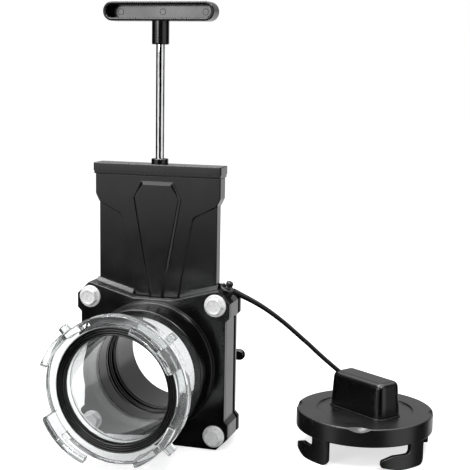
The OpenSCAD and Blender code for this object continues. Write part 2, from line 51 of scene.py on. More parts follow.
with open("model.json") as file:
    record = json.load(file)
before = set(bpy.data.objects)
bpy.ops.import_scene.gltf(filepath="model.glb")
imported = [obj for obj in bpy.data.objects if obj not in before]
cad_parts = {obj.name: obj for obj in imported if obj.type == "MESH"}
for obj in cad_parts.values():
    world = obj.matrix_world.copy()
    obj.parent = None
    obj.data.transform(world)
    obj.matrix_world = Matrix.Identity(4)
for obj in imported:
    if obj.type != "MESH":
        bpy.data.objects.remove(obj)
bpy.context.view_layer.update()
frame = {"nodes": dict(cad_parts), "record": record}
MM = 0.001
X, Y, Z = range(3)
QUARTER_TURNS = np.arange(4) * np.pi / 2
WASTE_BORE = next(mount for mount in frame["record"]["mounts"] if mount["name"] == "waste_bore")
BORE_R = WASTE_BORE["dims"]["r_mm"]
AXIS_Z = WASTE_BORE["pos_m"][2] / MM

# Radii that the moulds give to edges, in millimetres.
SHARP, FINE, EASED, BLUNT = 0.05, 0.3, 0.5, 0.8


def low(node, axis):
    """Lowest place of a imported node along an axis, in millimetres."""
    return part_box(node)[0][axis] / MM


def high(node, axis):
    """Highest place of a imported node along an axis, in millimetres."""
    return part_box(node)[1][axis] / MM


def span(node, axis):
    """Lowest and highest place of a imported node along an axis, in millimetres."""
    return low(node, axis), high(node, axis)


def middle(node, axis):
    """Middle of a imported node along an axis, in millimetres."""
    return sum(span(node, axis)) / 2


def srgb(code):
    """A colour written as sRGB hex, turned to the linear values that shaders take."""
    values = [int(code[i : i + 2], 16) / 255 for i in (1, 3, 5)]
    return [v / 12.92 if v <= 0.04045 else ((v + 0.055) / 1.055) ** 2.4 for v in values]


# ------------------------------------------------------------------ settings


def millimetres(name, description, value):
    """A length that a user may change, given in millimetres and kept in metres."""
    return bpy.props.FloatProperty(
        name=name, description=description, default=value * MM, unit="LENGTH", precision=5
    )


def degrees(name, description, value):
    """An angle that a user may change, given in degrees and kept in radians."""
    return bpy.props.FloatProperty(
        name=name, description=description, default=math.radians(value), unit="ROTATION"
    )


def number(name, description, value, least):
    """A number of like features that a user may change."""
    return bpy.props.IntProperty(name=name, description=description, default=value, min=least)


def hex_colour(name, description, code):
    """A colour that a user may change, given as sRGB hex and kept linear."""
    return bpy.props.FloatVectorProperty(
        name=name, description=description, default=srgb(code), size=3, subtype="COLOR"
    )


def sizes(context, name):
    """A group's values by name: its lengths in millimetres, and the others as they are."""
    group = getattr(context.scene, name)
    kinds = group.bl_rna.properties
    values = {key: getattr(group, key) for key in type(group).__annotations__}
    lengths = {key: value / MM for key, value in values.items() if kinds[key].unit == "LENGTH"}
    return SimpleNamespace(**{**values, **lengths})


class ValveStageSettings(bpy.types.PropertyGroup):
    """Camera and floor"""

    camera_place: bpy.props.FloatVectorProperty(
        name="Camera place",
        description="Where the camera stands",
        default=(0.2854, -0.7587, 0.2770),
        size=3,
        subtype="TRANSLATION",
        unit="LENGTH",
    )
    camera_azimuth: degrees("Azimuth", "Turn of the camera round the valve", 16.67)
    camera_elevation: degrees("Elevation", "Tilt of the camera down at the valve", 8.53)
    camera_roll: degrees("Roll", "Turn of the camera about its line of sight", 0.91)
    lens: bpy.props.FloatProperty(
        name="Lens", description="Focal length on a 36 mm sensor", default=84.77, unit="CAMERA"
    )
    floor_colour: hex_colour("Floor", "Colour of the floor", "#e6e6e6")


class ValveFinishSettings(bpy.types.PropertyGroup):
    """Colours of the finishes"""

    abs_colour: hex_colour("ABS", "Colour of the moulded flanges and housing", "#09090a")
    cap_colour: hex_colour("Cap", "Colour of the matt cap", "#0f0f10")
    grip_colour: hex_colour("Grip", "Colour of the cap's grip", "#040404")
    rubber_colour: hex_colour("Rubber", "Colour of the seals and gaskets", "#070707")
    strap_colour: hex_colour("Strap", "Colour of the moulded strap", "#090909")
    clear_colour: hex_colour("Clear plastic", "Tint of the clear coupler", "#e0e3e3")
    zinc_colour: hex_colour("Zinc", "Colour of the plated bolts and nuts", "#ebebec")
    stainless_colour: hex_colour("Stainless", "Colour of the gate blade and clamp", "#b4b6b8")
    chrome_colour: hex_colour("Chrome", "Colour of the gate rod", "#e2e3e4")


class ValveFlangeSettings(bpy.types.PropertyGroup):
    """Fine sizes of the bolted flanges and the housing between them"""

    ear_step: millimetres("Ear step", "How far the ears stand out from the sides", 3)
    ear_drop: millimetres("Ear drop", "Straight side of an ear below its bolt", 9)
    ear_chamfer: millimetres("Ear chamfer", "Cut across each corner of the flanges", 9)
    ear_top: millimetres("Ear top", "Flat top of each ear", 2)
    dip: millimetres("Dip", "Depth of the dip in the flanges' top edge", 9.2)
    dip_flat: millimetres("Dip flat", "Half width of the flat bottom of the dip", 15)
    gasket_inset: millimetres("Gasket inset", "How far the joint gasket is set in", 1.6)
    edge_round: millimetres("Edge rounding", "Rounding of the moulded edges", 0.75)
    root_fillet: millimetres("Root fillet", "Fillet where a neck meets its plate", 1.2)
    pad_radius: millimetres("Pad radius", "Round pad under the front collar", 48.8)
    pad_rise: millimetres("Pad rise", "Height of that pad", 0.8)
    housing_wall: millimetres("Housing wall", "Thickness of the housing beside its frame", 8)
    ledge_rise: millimetres("Ledge rise", "Height of the ledges at the housing's foot", 2.9)
    ledge_lip: millimetres("Ledge lip", "Height of their outer edge", 0.5)
    ledge_reach: millimetres("Ledge reach", "How far they stand out from the housing", 2.6)
    ledge_start: millimetres("Ledge start", "Where they start, past the dip's flat bottom", 3.6)
    ledge_end: millimetres("Ledge end", "How far they end inside the housing's sides", 1.2)
    lug_radius: millimetres("Lug radius", "Radius of a bayonet lug of the hub", 4.3)
    lid_band: millimetres("Lid band", "Height of the narrow band at the top cap's foot", 2.1)
    lid_inset: millimetres("Lid inset", "How far that band is set in", 0.5)
    seal_lip: millimetres("Seal lip", "How far a seal's lips reach into the bore", 0.7)


class ValveCouplerSettings(bpy.types.PropertyGroup):
    """Fine sizes of the clear coupler"""

    rim_radius: millimetres("Rim radius", "Radius of the coupler's rim", 52.0)
    hook_wall: millimetres("Hook wall", "Thickness of a bayonet hook", 4.6)
    hook_clearance: millimetres("Hook clearance", "Gap between the gasket and a hook", 2.4)
    hook_fillet: millimetres("Hook fillet", "Fillet between a stem and its finger", 1.2)
    stem: millimetres("Stem", "Width of a hook's stem", 17)
    finger: millimetres("Finger", "Length of a hook's finger", 24)
    gap: millimetres("Gap", "Gap between the rim and a finger", 9.4)
    hook_turn: degrees("Hook turn", "Angle of the first hook", 32.5)
    block_width: millimetres("Block width", "Width of a grip block", 5.5)
    block_rise: millimetres("Block rise", "Height of a grip block over the rim", 5.5)
    rib_rise: millimetres("Rib rise", "Height of the ribs round the tube", 1.1)
    rib_width: millimetres("Rib width", "Width of those ribs", 1.6)
    rib_spacing: millimetres("Rib spacing", "Distance from rib to rib", 4)
    ribs: number("Ribs", "Number of ribs round the tube", 1, 0)
    gasket_ribs: number("Gasket ribs", "Number of ribs on the face gasket", 4, 1)
    groove: millimetres("Groove", "Depth of the grooves between those ribs", 1.0)


class ValveBoltSettings(bpy.types.PropertyGroup):
    """Fine sizes of the flange bolts"""

    across_flats: millimetres("Across flats", "Size of the hexagons", 11.1)
    washer_thickness: millimetres("Washer", "Thickness of the flange under a head", 1.6)
    shank_radius: millimetres("Shank radius", "Outer radius of the thread", 3.18)
    pitch: millimetres("Pitch", "Pitch of the thread", 1.27)
    thread_depth: millimetres("Thread depth", "Depth of the thread", 0.55)


class ValveCapSettings(bpy.types.PropertyGroup):
    """Fine sizes of the bayonet cap"""

    wall: millimetres("Wall", "Thickness of the cap's skirt", 4.6)
    skirt: millimetres("Skirt", "Height of the cap's skirt", 13.3)
    top_thickness: millimetres("Top", "Thickness of the cap's disc", 4)
    step_radius: millimetres("Step radius", "Radius of the sunk middle of the disc", 35.5)
    step_depth: millimetres("Step depth", "Depth of that middle", 1.2)
    scallops: number("Scallops", "Number of finger scallops", 4, 1)
    scallop_width: millimetres("Scallop width", "Width of a scallop along the edge", 18.8)
    scallop_cut: millimetres("Scallop cut", "How far a scallop cuts into the top", 4)
    scallop_drop: millimetres("Scallop drop", "How far a scallop cuts down the skirt", 2.7)
    scallop_turn: degrees("Scallop turn", "Angle of the first scallop", 6)
    hook_wall: millimetres("Hook wall", "Thickness of a bayonet hook", 3.8)
    hook_inset: millimetres("Hook inset", "How far a hook is set in from the skirt", 0.25)
    hook_fillet: millimetres("Hook fillet", "Fillet between a stem and its finger", 3)
    stem: millimetres("Stem", "Width of a hook's stem", 14.5)
    finger: millimetres("Finger", "Length of a hook's finger", 23)
    finger_tip: millimetres("Finger tip", "Radius of a finger's round tip", 2.4)
    gap: millimetres("Gap", "Gap between the skirt and a finger", 6.8)
    hook_turn: degrees("Hook turn", "Angle of the first hook", -29.5)
    grip_length: millimetres("Grip length", "Length of the grip", 54)
    grip_width: millimetres("Grip width", "Width of the grip", 24)
    grip_round: millimetres("Grip rounding", "Rounding of the grip's edges", 4)
    grip_draft: millimetres("Grip draft", "Narrowing of the grip to its top", 1.8)
    grip_turn: degrees("Grip turn", "Turn of the grip about the cap", -35)
    gasket_width: millimetres("Gasket width", "Width of the flat ring gasket", 6.6)


class ValveHandleSettings(bpy.types.PropertyGroup):
    """Fine sizes of the T handle"""

    rim: millimetres("Rim", "Wall round the handle's recess", 2.3)
    floor: millimetres("Floor", "Distance of the recess floor from the bar's back", 2.8)
    back_round: millimetres("Back rounding", "Rounding of the bar's back edge", 1.6)
    boss_radius: millimetres("Boss radius", "Radius of the boss under the bar", 6.25)
    boss_length: millimetres("Boss length", "Length of that boss", 16.5)
    mark_radius: millimetres("Mark radius", "Radius of the ejector marks", 2.4)


class ValveTetherSettings(bpy.types.PropertyGroup):
    """Fine sizes of the strap and its anchor"""

    root_radius: millimetres("Root radius", "Radius of the strap where it leaves its eye", 2.3)
    strap_radius: millimetres("Strap radius", "Radius of the strap further along", 1.65)
    taper: millimetres("Taper", "Length over which the root thins out", 18)
    anchor_lean: degrees("Anchor lean", "Lean of the anchor towards the cap", 28)
    eye_radius: millimetres("Eye radius", "Radius of the strap's eye", 6)
    eye_rise: millimetres("Eye rise", "Height of the eye's top over the ear's corner", 2.2)
    eye_depth: millimetres("Eye depth", "How far the eye goes down over that corner", 3)
    neck_radius: millimetres("Neck radius", "Radius of the neck under the button", 1.7)
    neck_length: millimetres("Neck length", "Length of that neck", 1.6)
    button_radius: millimetres("Button radius", "Radius of the ribbed button", 2.7)
    button_height: millimetres("Button height", "Height of the ribbed button", 3.6)
    pip_radius: millimetres("Pip radius", "Radius of the pip beside the button", 1.4)
    pip_height: millimetres("Pip height", "Height of that pip", 2)


# ------------------------------------------------------------------ shapes


def rounded(corners, radii, steps=4, closed=True):
    """A line of corners, with each corner turned to an arc.

    An arc touches both sides of its corner; its points turn evenly from one side's normal
    to the other's about the arc's centre. An open line keeps its two ends as they are.
    """
    corners = np.asarray(corners, float)
    back = np.roll(corners, 1, axis=0) - corners
    ahead = np.roll(corners, -1, axis=0) - corners
    reach = np.minimum(np.linalg.norm(back, axis=1), np.linalg.norm(ahead, axis=1))
    back /= np.linalg.norm(back, axis=1, keepdims=True)
    ahead /= np.linalg.norm(ahead, axis=1, keepdims=True)
    half = np.arccos(np.clip((back * ahead).sum(axis=1), -1, 1)) / 2
    tangent = np.minimum(np.broadcast_to(radii, half.shape) / np.tan(half), 0.49 * reach)
    tangent = np.maximum(tangent, 0.01)
    radius = tangent * np.tan(half)
    middle_line = back + ahead
    middle_line /= np.linalg.norm(middle_line, axis=1, keepdims=True)
    centre = corners + middle_line * (radius / np.sin(half))[:, None]
    first = (corners + back * tangent[:, None] - centre) / radius[:, None]
    last = (corners + ahead * tangent[:, None] - centre) / radius[:, None]
    turn = (np.pi - 2 * half)[:, None, None]
    share = np.linspace(0, 1, steps + 1)[None, :, None]
    swing = np.sin((1 - share) * turn) * first[:, None] + np.sin(share * turn) * last[:, None]
    arcs = centre[:, None] + radius[:, None, None] * swing / np.sin(turn)
    if closed:
        return arcs.reshape(-1, 2)
    return np.vstack([corners[:1], arcs[1:-1].reshape(-1, 2), corners[-1:]])


def refined(line, step, closed=True):
    """The same line with points added so that no side is longer than the step."""
    ends = np.roll(line, -1, axis=0) if closed else line[1:]
    starts = line if closed else line[:-1]
    counts = np.maximum(np.ceil(np.linalg.norm(ends - starts, axis=1) / step), 1).astype(int)
    side = np.repeat(np.arange(len(starts)), counts)
    share = (np.arange(len(side)) - np.repeat(np.cumsum(counts) - counts, counts)) / counts[side]
    points = starts[side] + share[:, None] * (ends - starts)[side]
    return points if closed else np.vstack([points, line[-1:]])


def rectangle(half_width, half_height):
    """The four corners of an upright rectangle about the origin, anticlockwise."""
    x, y = half_width, half_height
    return [(x, -y), (x, y), (-x, y), (-x, -y)]


def inset(outline, distance):
    """A closed anticlockwise outline moved inwards along the mitre of each point's two sides."""
    side = np.roll(outline, -1, axis=0) - outline
    normal = np.stack([-side[:, 1], side[:, 0]], axis=-1)
    normal /= np.linalg.norm(normal, axis=1, keepdims=True)
    before = np.roll(normal, 1, axis=0)
    mitre = (before + normal) / (1 + (before * normal).sum(axis=1, keepdims=True))
    return outline + distance * mitre


def edge_rows(start, end, start_round, end_round, steps=3):
    """Rows of inset and height up a wall whose two edges are quarter rounds.

    Each quarter: inset = r (1 - sin a), rise = r (1 - cos a), for a from 0 to 90 degrees.
    """
    a = np.linspace(0, np.pi / 2, steps + 1)
    curve = np.stack([1 - np.sin(a), 1 - np.cos(a)], axis=-1)
    first = curve * start_round * [1, np.sign(end - start)] + [0, start]
    last = curve[::-1] * end_round * [1, -np.sign(end - start)] + [0, end]
    return np.vstack([first, last])


def walls(outline, rows):
    """Grid of one outline per row, each set in by the row's inset, at the row's height."""
    loops = [np.c_[inset(outline, row[0]), np.full(len(outline), row[1])] for row in rows]
    return np.stack(loops)


def circles(outline, rows):
    """Grid of one circle per row of radius and height, its points at the outline's angles."""
    direction = outline / np.linalg.norm(outline, axis=1, keepdims=True)
    loops = [np.c_[direction * row[0], np.full(len(outline), row[1])] for row in rows]
    return np.stack(loops)


def turned(profile, steps=96):
    """A profile of radius and height, carried round the axis in even steps."""
    a = np.linspace(0, 2 * np.pi, steps, endpoint=False)
    return circles(np.stack([np.cos(a), np.sin(a)], axis=-1), profile)


def rotated(points, turn):
    """Points turned about the vertical axis: x = x cos - y sin, and y = x sin + y cos."""
    c, s = math.cos(turn), math.sin(turn)
    x, y, z = points[..., 0], points[..., 1], points[..., 2]
    return np.stack([c * x - s * y, s * x + c * y, z], axis=-1)


def lying(points, centre=(0, AXIS_Z)):
    """Points laid down so that their height runs along Y, about a centre in X and Z."""
    x, y, z = points[..., 0], points[..., 1], points[..., 2]
    return np.stack([x + centre[0], z, y + centre[1]], axis=-1)


def patch(points, close_rows=False, first_cap=False, last_cap=False):
    """Vertices and faces of a grid whose columns close round, with its ends capped or not."""
    rows, columns = points.shape[:2]
    index = np.arange(rows * columns).reshape(rows, columns)
    around = np.hstack([index, index[:, :1]])
    if close_rows:
        around = np.vstack([around, around[:1]])
    quads = [around[:-1, :-1], around[:-1, 1:], around[1:, 1:], around[1:, :-1]]
    faces = np.stack(quads, axis=-1).reshape(-1, 4).tolist()
    if first_cap:
        faces.append(index[0].tolist())
    if last_cap:
        faces.append(index[-1][::-1].tolist())
    return points.reshape(-1, 3), faces


def ring(points):
    """A grid that closes on itself both ways."""
    return patch(points, close_rows=True)


def solid(points):
    """A grid with a cap on both its ends."""
    return patch(points, first_cap=True, last_cap=True)


def new_mesh(name, patches, merge=0.002):
    """One mesh of patches, in metres, its doubles merged and its faces turned outwards."""
    starts = np.cumsum([0] + [len(points) for points, _ in patches])
    points = np.vstack([points for points, _ in patches]) * MM
    faces = [[i + start for i in face] for (_, own), start in zip(patches, starts) for face in own]
    mesh = bpy.data.meshes.new(name)
    mesh.from_pydata(points.tolist(), [], faces)
    tidy = bmesh.new()
    tidy.from_mesh(mesh)
    bmesh.ops.remove_doubles(tidy, verts=tidy.verts, dist=merge * MM)
    bmesh.ops.dissolve_degenerate(tidy, edges=tidy.edges, dist=merge * MM)
    bmesh.ops.recalc_face_normals(tidy, faces=tidy.faces)
    tidy.to_mesh(mesh)
    tidy.free()
    return mesh


def add_piece(name, shape, slot, nodes, body="valve", sharp=38, finish=None):
    """A piece of a mesh or of patches, with its finish, on its body and for its nodes.

    It is smooth but for the edges that turn by more than the sharp angle, in degrees.
    """
    mesh = new_mesh(name, shape) if isinstance(shape, list) else shape
    piece = bpy.data.objects.new(name, mesh)
    bpy.context.scene.collection.objects.link(piece)
    mesh.shade_smooth()
    mesh.set_sharp_from_angle(angle=math.radians(sharp))
    even = piece.modifiers.new("even shading", "WEIGHTED_NORMAL")
    even.keep_sharp = True
    paint(piece, slot, finish)
    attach(piece, body)
    if nodes:
        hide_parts(*nodes)
    return piece


# ------------------------------------------------------------------ materials


def add_node(tree, kind, links=None, sockets=None, **settings):
    """Adds one shader node with its settings, its socket values and its incoming links."""
    node = tree.nodes.new(kind)
    for key, value in settings.items():
        setattr(node, key, value)
    for socket, value in (sockets or {}).items():
        node.inputs[socket].default_value = value
    for socket, source in (links or {}).items():
        tree.links.new(source, node.inputs[socket])
    return node


def new_material(name, sockets):
    """A node material: its tree, its principled shader with set sockets, and the place."""
    material = bpy.data.materials.new(name)
    material.use_nodes = True
    tree = material.node_tree
    tree.nodes.clear()
    shader = add_node(tree, "ShaderNodeBsdfPrincipled", sockets=sockets)
    add_node(tree, "ShaderNodeOutputMaterial", {"Surface": shader.outputs["BSDF"]})
    place = add_node(tree, "ShaderNodeTexCoord").outputs["Object"]
    return material, tree, shader, place


def shade(colour, factor=1):
    """A colour made darker or lighter by a factor, as a socket takes it."""
    return (*[min(part * factor, 1) for part in colour], 1)


def moulded(name, colour, roughness, grain_mm, grain_depth_mm, edge_highlight_grey=None):
    """Injection moulded plastic or rubber.

    The mould's spark-eroded grain breaks up the gloss, and slow flow marks change the
    gloss and the colour a little over a few centimetres. Where an edge grey is given, the
    edges are painted that grey over about 0.6 mm: a painted highlight along them.
    """
    material, tree, shader, place = new_material(name, {"IOR": 1.53})
    flow_mm, edge_mm = 22, 0.6
    grain, flow = [
        add_node(
            tree,
            "ShaderNodeTexNoise",
            {"Vector": place},
            {"Scale": 1 / (size * MM), "Detail": detail},
        ).outputs["Fac"]
        for size, detail in ((grain_mm, 2), (flow_mm, 3))
    ]
    gloss = add_node(
        tree,
        "ShaderNodeMapRange",
        {"Value": flow},
        {"From Min": 0.3, "From Max": 0.7, "To Min": roughness - 0.04, "To Max": roughness + 0.06},
    )
    tint = add_node(
        tree,
        "ShaderNodeMix",
        {"Factor": flow},
        {"A": shade(colour, 0.8), "B": shade(colour, 1.3)},
        data_type="RGBA",
    )
    # Painted highlight: edges, found where the bevel's normal turns away from the face's, are
    # painted a paler grey.
    if edge_highlight_grey:
        flat = add_node(tree, "ShaderNodeNewGeometry").outputs["Normal"]
        soft = add_node(tree, "ShaderNodeBevel", sockets={"Radius": edge_mm * MM}, samples=4)
        turn = add_node(
            tree,
            "ShaderNodeVectorMath",
            {0: soft.outputs["Normal"], 1: flat},
            operation="DOT_PRODUCT",
        )
        edge = add_node(
            tree,
            "ShaderNodeMapRange",
            {"Value": turn.outputs["Value"]},
            {"From Min": 0.99, "From Max": 0.86, "To Min": 0.0, "To Max": 1.0},
        )
        tint = add_node(
            tree,
            "ShaderNodeMix",
            {"Factor": edge.outputs["Result"], "A": tint.outputs["Result"]},
            {"B": (edge_highlight_grey, edge_highlight_grey, edge_highlight_grey, 1)},
            data_type="RGBA",
        )
    bump = add_node(
        tree, "ShaderNodeBump", {"Height": grain}, {"Strength": 1, "Distance": grain_depth_mm * MM}
    )
    tree.links.new(tint.outputs["Result"], shader.inputs["Base Color"])
    tree.links.new(gloss.outputs["Result"], shader.inputs["Roughness"])
    tree.links.new(bump.outputs["Normal"], shader.inputs["Normal"])
    return material


def clear_polycarbonate(name, colour):
    """Clear moulded polycarbonate: polished, with faint flow waves and a slight milky haze,
    which is the share of light that it scatters and doesn't transmit.
    """
    material, tree, shader, place = new_material(
        name,
        {
            "Base Color": shade(colour),
            "IOR": 1.585,
            "Roughness": 0.015,
            "Transmission Weight": 0.95,
        },
    )
    wave_mm, wave_depth_mm = 9, 0.015
    wave = add_node(
        tree, "ShaderNodeTexNoise", {"Vector": place}, {"Scale": 1 / (wave_mm * MM), "Detail": 1}
    )
    bump = add_node(
        tree,
        "ShaderNodeBump",
        {"Height": wave.outputs["Fac"]},
        {"Strength": 1, "Distance": wave_depth_mm * MM},
    )
    tree.links.new(bump.outputs["Normal"], shader.inputs["Normal"])
    return material


def plated_zinc(name, colour):
    """Bright zinc plate over steel: a pale, milky grey, with crystal patches that differ in
    gloss and clouds that differ in shade. Both are drawn coarser than real, to show.
    """
    material, tree, shader, place = new_material(name, {"Metallic": 0.2})
    crystal_mm, cloud_mm, cloud_depth_mm = 1.5, 1.6, 0.2
    crystal = add_node(
        tree, "ShaderNodeTexVoronoi", {"Vector": place}, {"Scale": 1 / (crystal_mm * MM)}
    )
    cloud = add_node(
        tree, "ShaderNodeTexNoise", {"Vector": place}, {"Scale": 1 / (cloud_mm * MM), "Detail": 5}
    )
    tint = add_node(
        tree,
        "ShaderNodeMix",
        {"Factor": cloud.outputs["Fac"]},
        {"A": shade(colour, 0.58), "B": shade(colour, 1.3)},
        data_type="RGBA",
    )
    gloss = add_node(
        tree,
        "ShaderNodeMapRange",
        {"Value": crystal.outputs["Color"]},
        {"To Min": 0.25, "To Max": 0.6},
    )
    bump = add_node(
        tree,
        "ShaderNodeBump",
        {"Height": cloud.outputs["Fac"]},
        {"Strength": 1, "Distance": cloud_depth_mm * MM},
    )
    tree.links.new(tint.outputs["Result"], shader.inputs["Base Color"])
    tree.links.new(gloss.outputs["Result"], shader.inputs["Roughness"])
    tree.links.new(bump.outputs["Normal"], shader.inputs["Normal"])
    return material


def drawn_metal(name, colour, roughness, line_mm, depth_mm, stretch=50):
    """Drawn or rolled metal: lines along the height, as the die leaves them, which are
    longer than they are wide by the stretch.
    """
    material, tree, shader, place = new_material(
        name, {"Metallic": 1, "Roughness": roughness, "Base Color": shade(colour)}
    )
    stretched = add_node(
        tree, "ShaderNodeMapping", {"Vector": place}, {"Scale": (1, 1, 1 / stretch)}
    )
    lines = add_node(
        tree,
        "ShaderNodeTexNoise",
        {"Vector": stretched.outputs["Vector"]},
        {"Scale": 1 / (line_mm * MM), "Detail": 2},
    )
    bump = add_node(
        tree,
        "ShaderNodeBump",
        {"Height": lines.outputs["Fac"]},
        {"Strength": 1, "Distance": depth_mm * MM},
    )
    tree.links.new(bump.outputs["Normal"], shader.inputs["Normal"])
    return material


FINISHES = {}


class VALVE_OT_finishes(bpy.types.Operator):
    """Materials of every slot, and of the cap and its grip"""

    bl_idname = "valve.finishes"
    bl_label = "Finishes"

    def execute(self, context):
        # After a moulded colour come its roughness, its grain's size and depth in millimetres,
        # and the grey of the highlight painted along its edges. A drawn metal has its roughness,
        # its lines' size and depth, and how much longer than wide they are where they're short.
        tints = context.scene.valve_finish
        FINISHES.update({
            "black_abs": moulded("moulded_black_abs", tints.abs_colour, 0.17, 0.8, 0.004, 0.03),
            "matt_abs": moulded("matt_moulded_abs", tints.cap_colour, 0.3, 0.8, 0.004, 0.03),
            "grip_abs": moulded("moulded_grip_abs", tints.grip_colour, 0.24, 0.8, 0.004, 0.01),
            "tether_plastic": moulded("moulded_soft_polymer", tints.strap_colour, 0.34, 1.1, 0.01),
            "black_rubber": moulded("moulded_nitrile_rubber", tints.rubber_colour, 0.32, 0.6, 0.01),
            "clear_plastic": clear_polycarbonate("clear_polycarbonate", tints.clear_colour),
            "zinc_steel": plated_zinc("bright_zinc_plate", tints.zinc_colour),
            "stainless_steel": drawn_metal(
                "rolled_stainless_steel", tints.stainless_colour, 0.28, 0.5, 0.004
            ),
            "chrome_rod": drawn_metal("chromed_steel", tints.chrome_colour, 0.04, 1.2, 0.08, 7),
        })
        return {"FINISHED"}


def paint(piece, slot, finish=None):
    """Gives a piece its material: the slot's own, unless a finish is named."""
    piece.data.materials.clear()
    piece.data.materials.append(FINISHES[finish or slot])


# ------------------------------------------------------------------ flanges and housing


def flange_outline(flange, set_in=0.0):
    """The bolted flanges' outline: chamfered ears, set-in sides and a dip in the top edge.

    The corners of the right side, from foot to top, are mirrored to the left, and long
    sides are cut to 2.2 mm so that the circles of the neck come out round.
    """
    longest = 2.2
    ear = high("front_plate", X) - set_in
    side = ear - flange.ear_step
    outer = middle("upper_right_bolt", X) - flange.ear_drop
    inner = outer - flange.ear_step
    cut = flange.ear_chamfer
    dip_z = high("front_plate", Z) - AXIS_Z - flange.dip - set_in
    right = np.array([
        (ear - cut, -ear), (ear, cut - ear), (ear, -outer), (side, -inner), (side, inner),
        (ear, outer), (ear, ear - cut), (ear - cut, ear), (ear - cut - flange.ear_top, ear),
        (flange.dip_flat, dip_z),
    ])
    corners = np.vstack([right, right[::-1] * [-1, 1]])
    return refined(rounded(corners, BLUNT, 3), longest)


def add_plate(name, outline, neck, rim, slot, nodes):
    """A plate about the bore: the open line of its neck, in radius and depth, is carried
    round the axis at the angles of the outline's points, and the rim's wall joins its ends.
    """
    surface = np.vstack([circles(outline, neck), walls(outline, rim)])
    add_piece(name, [ring(lying(surface))], slot, nodes)


class VALVE_OT_front_flange(bpy.types.Operator):
    """Front flange plate with its pad and the collar that holds the clear tube"""

    bl_idname = "valve.front_flange"
    bl_label = "Front flange"

    def execute(self, context):
        flange = sizes(context, "valve_flange")
        pad, back = span("front_plate", Y)
        face, pad_r = pad + flange.pad_rise, flange.pad_radius
        mouth, collar_r = low("front_collar", Y), high("front_collar", X)
        socket, tube_r = high("clear_tube", Y), high("clear_tube", X) + 0.05
        neck = rounded(
            [
                (BORE_R, back), (BORE_R, socket), (tube_r, socket), (tube_r, mouth),
                (collar_r, mouth), (collar_r, pad), (pad_r, pad), (pad_r, face),
            ],
            [0, BLUNT, FINE, EASED, 0.9, flange.root_fillet, 0.35, 0],
            closed=False,
        )
        rim = edge_rows(face, back, flange.edge_round, flange.edge_round)
        nodes = ["front_plate", "front_collar"]
        add_plate("front_flange", flange_outline(flange), neck, rim, "black_abs", nodes)
        return {"FINISHED"}


class VALVE_OT_rear_flange(bpy.types.Operator):
    """Rear flange plate with the bayonet hub behind it, and the joint gasket"""

    bl_idname = "valve.rear_flange"
    bl_label = "Rear flange"

    def execute(self, context):
        flange = sizes(context, "valve_flange")
        face, back = span("rear_plate", Y)
        hub_r, end = high("rear_hub", X), high("rear_hub", Y)
        plate_r = hub_r + 6
        neck = rounded(
            [(BORE_R, face), (BORE_R, end), (hub_r, end), (hub_r, back), (plate_r, back)],
            [0, BLUNT, 1.2, 2 * flange.root_fillet, 0],
            closed=False,
        )
        rim = edge_rows(back, face, flange.edge_round, flange.edge_round)
        nodes = ["rear_plate", "rear_hub"]
        add_plate("rear_flange", flange_outline(flange), neck, rim, "black_abs", nodes)

        outline = flange_outline(flange, flange.gasket_inset)
        near, far = span("joint_gasket", Y)
        bore, rim = [(BORE_R, far), (BORE_R, near)], edge_rows(near, far, FINE, FINE, 2)
        add_plate("flange_gasket", outline, bore, rim, "black_rubber", ["joint_gasket"])
        return {"FINISHED"}


class VALVE_OT_hub_lugs(bpy.types.Operator):
    """Four ball-ended lugs of the rear bayonet hub, flat on their two sides"""

    bl_idname = "valve.hub_lugs"
    bl_label = "Hub lugs"

    def execute(self, context):
        radius = sizes(context, "valve_flange").lug_radius
        tip, root = high("hub_lugs", X), high("rear_hub", X) - 1
        half_t = (high("hub_lugs", Y) - low("hub_lugs", Y)) / 2
        a = np.linspace(0, np.pi / 2, 13)
        ball = np.stack([radius * np.cos(a), tip - radius + radius * np.sin(a)], axis=-1)
        foot = [(radius + 1, root), (radius, root + 2.4), (radius, tip - radius)]
        profile = np.vstack([rounded(foot, 1, 3, closed=False), ball])
        lug = turned(profile, 64)[..., [2, 0, 1]]
        lug[..., 2] = np.clip(lug[..., 2], -half_t, half_t) + middle("hub_lugs", Y)
        lugs = [patch(lying(rotated(lug, turn)), first_cap=True) for turn in QUARTER_TURNS]
        add_piece("bayonet_lugs", lugs, "black_abs", ["hub_lugs"])
        return {"FINISHED"}


class VALVE_OT_ledges(bpy.types.Operator):
    """Sloped ledges along the housing's foot, on the two slopes of the flanges' dip"""

    bl_idname = "valve.ledges"
    bl_label = "Foot ledges"

    def execute(self, context):
        flange = sizes(context, "valve_flange")
        slope_start = flange.dip_flat
        slope_end = high("front_plate", X) - flange.ear_chamfer - flange.ear_top
        slope = flange.dip / (slope_end - slope_start)
        wall, rise = flange.housing_wall / 2, flange.ledge_rise
        outer = wall + flange.ledge_reach
        root, lip = wall - 1, flange.ledge_lip
        section = rounded(
            [(root, -1), (outer, -1), (outer, lip), (wall, rise), (root, rise)],
            [SHARP, SHARP, EASED, 0.4, SHARP],
        )
        near, far = slope_start + flange.ledge_start, high("gate_housing", X) - flange.ledge_end
        x = np.linspace(near, far, 13)[:, None]
        foot = high("front_plate", Z) - flange.dip + (x - slope_start) * slope
        ledge = np.broadcast_arrays(x, section[None, :, 0], foot + section[None, :, 1])
        ledge = np.stack(ledge, axis=-1)
        ledges = [solid(ledge * [side, face, 1]) for side in (-1, 1) for face in (-1, 1)]
        add_piece("foot_ledges", ledges, "black_abs", [])
        return {"FINISHED"}


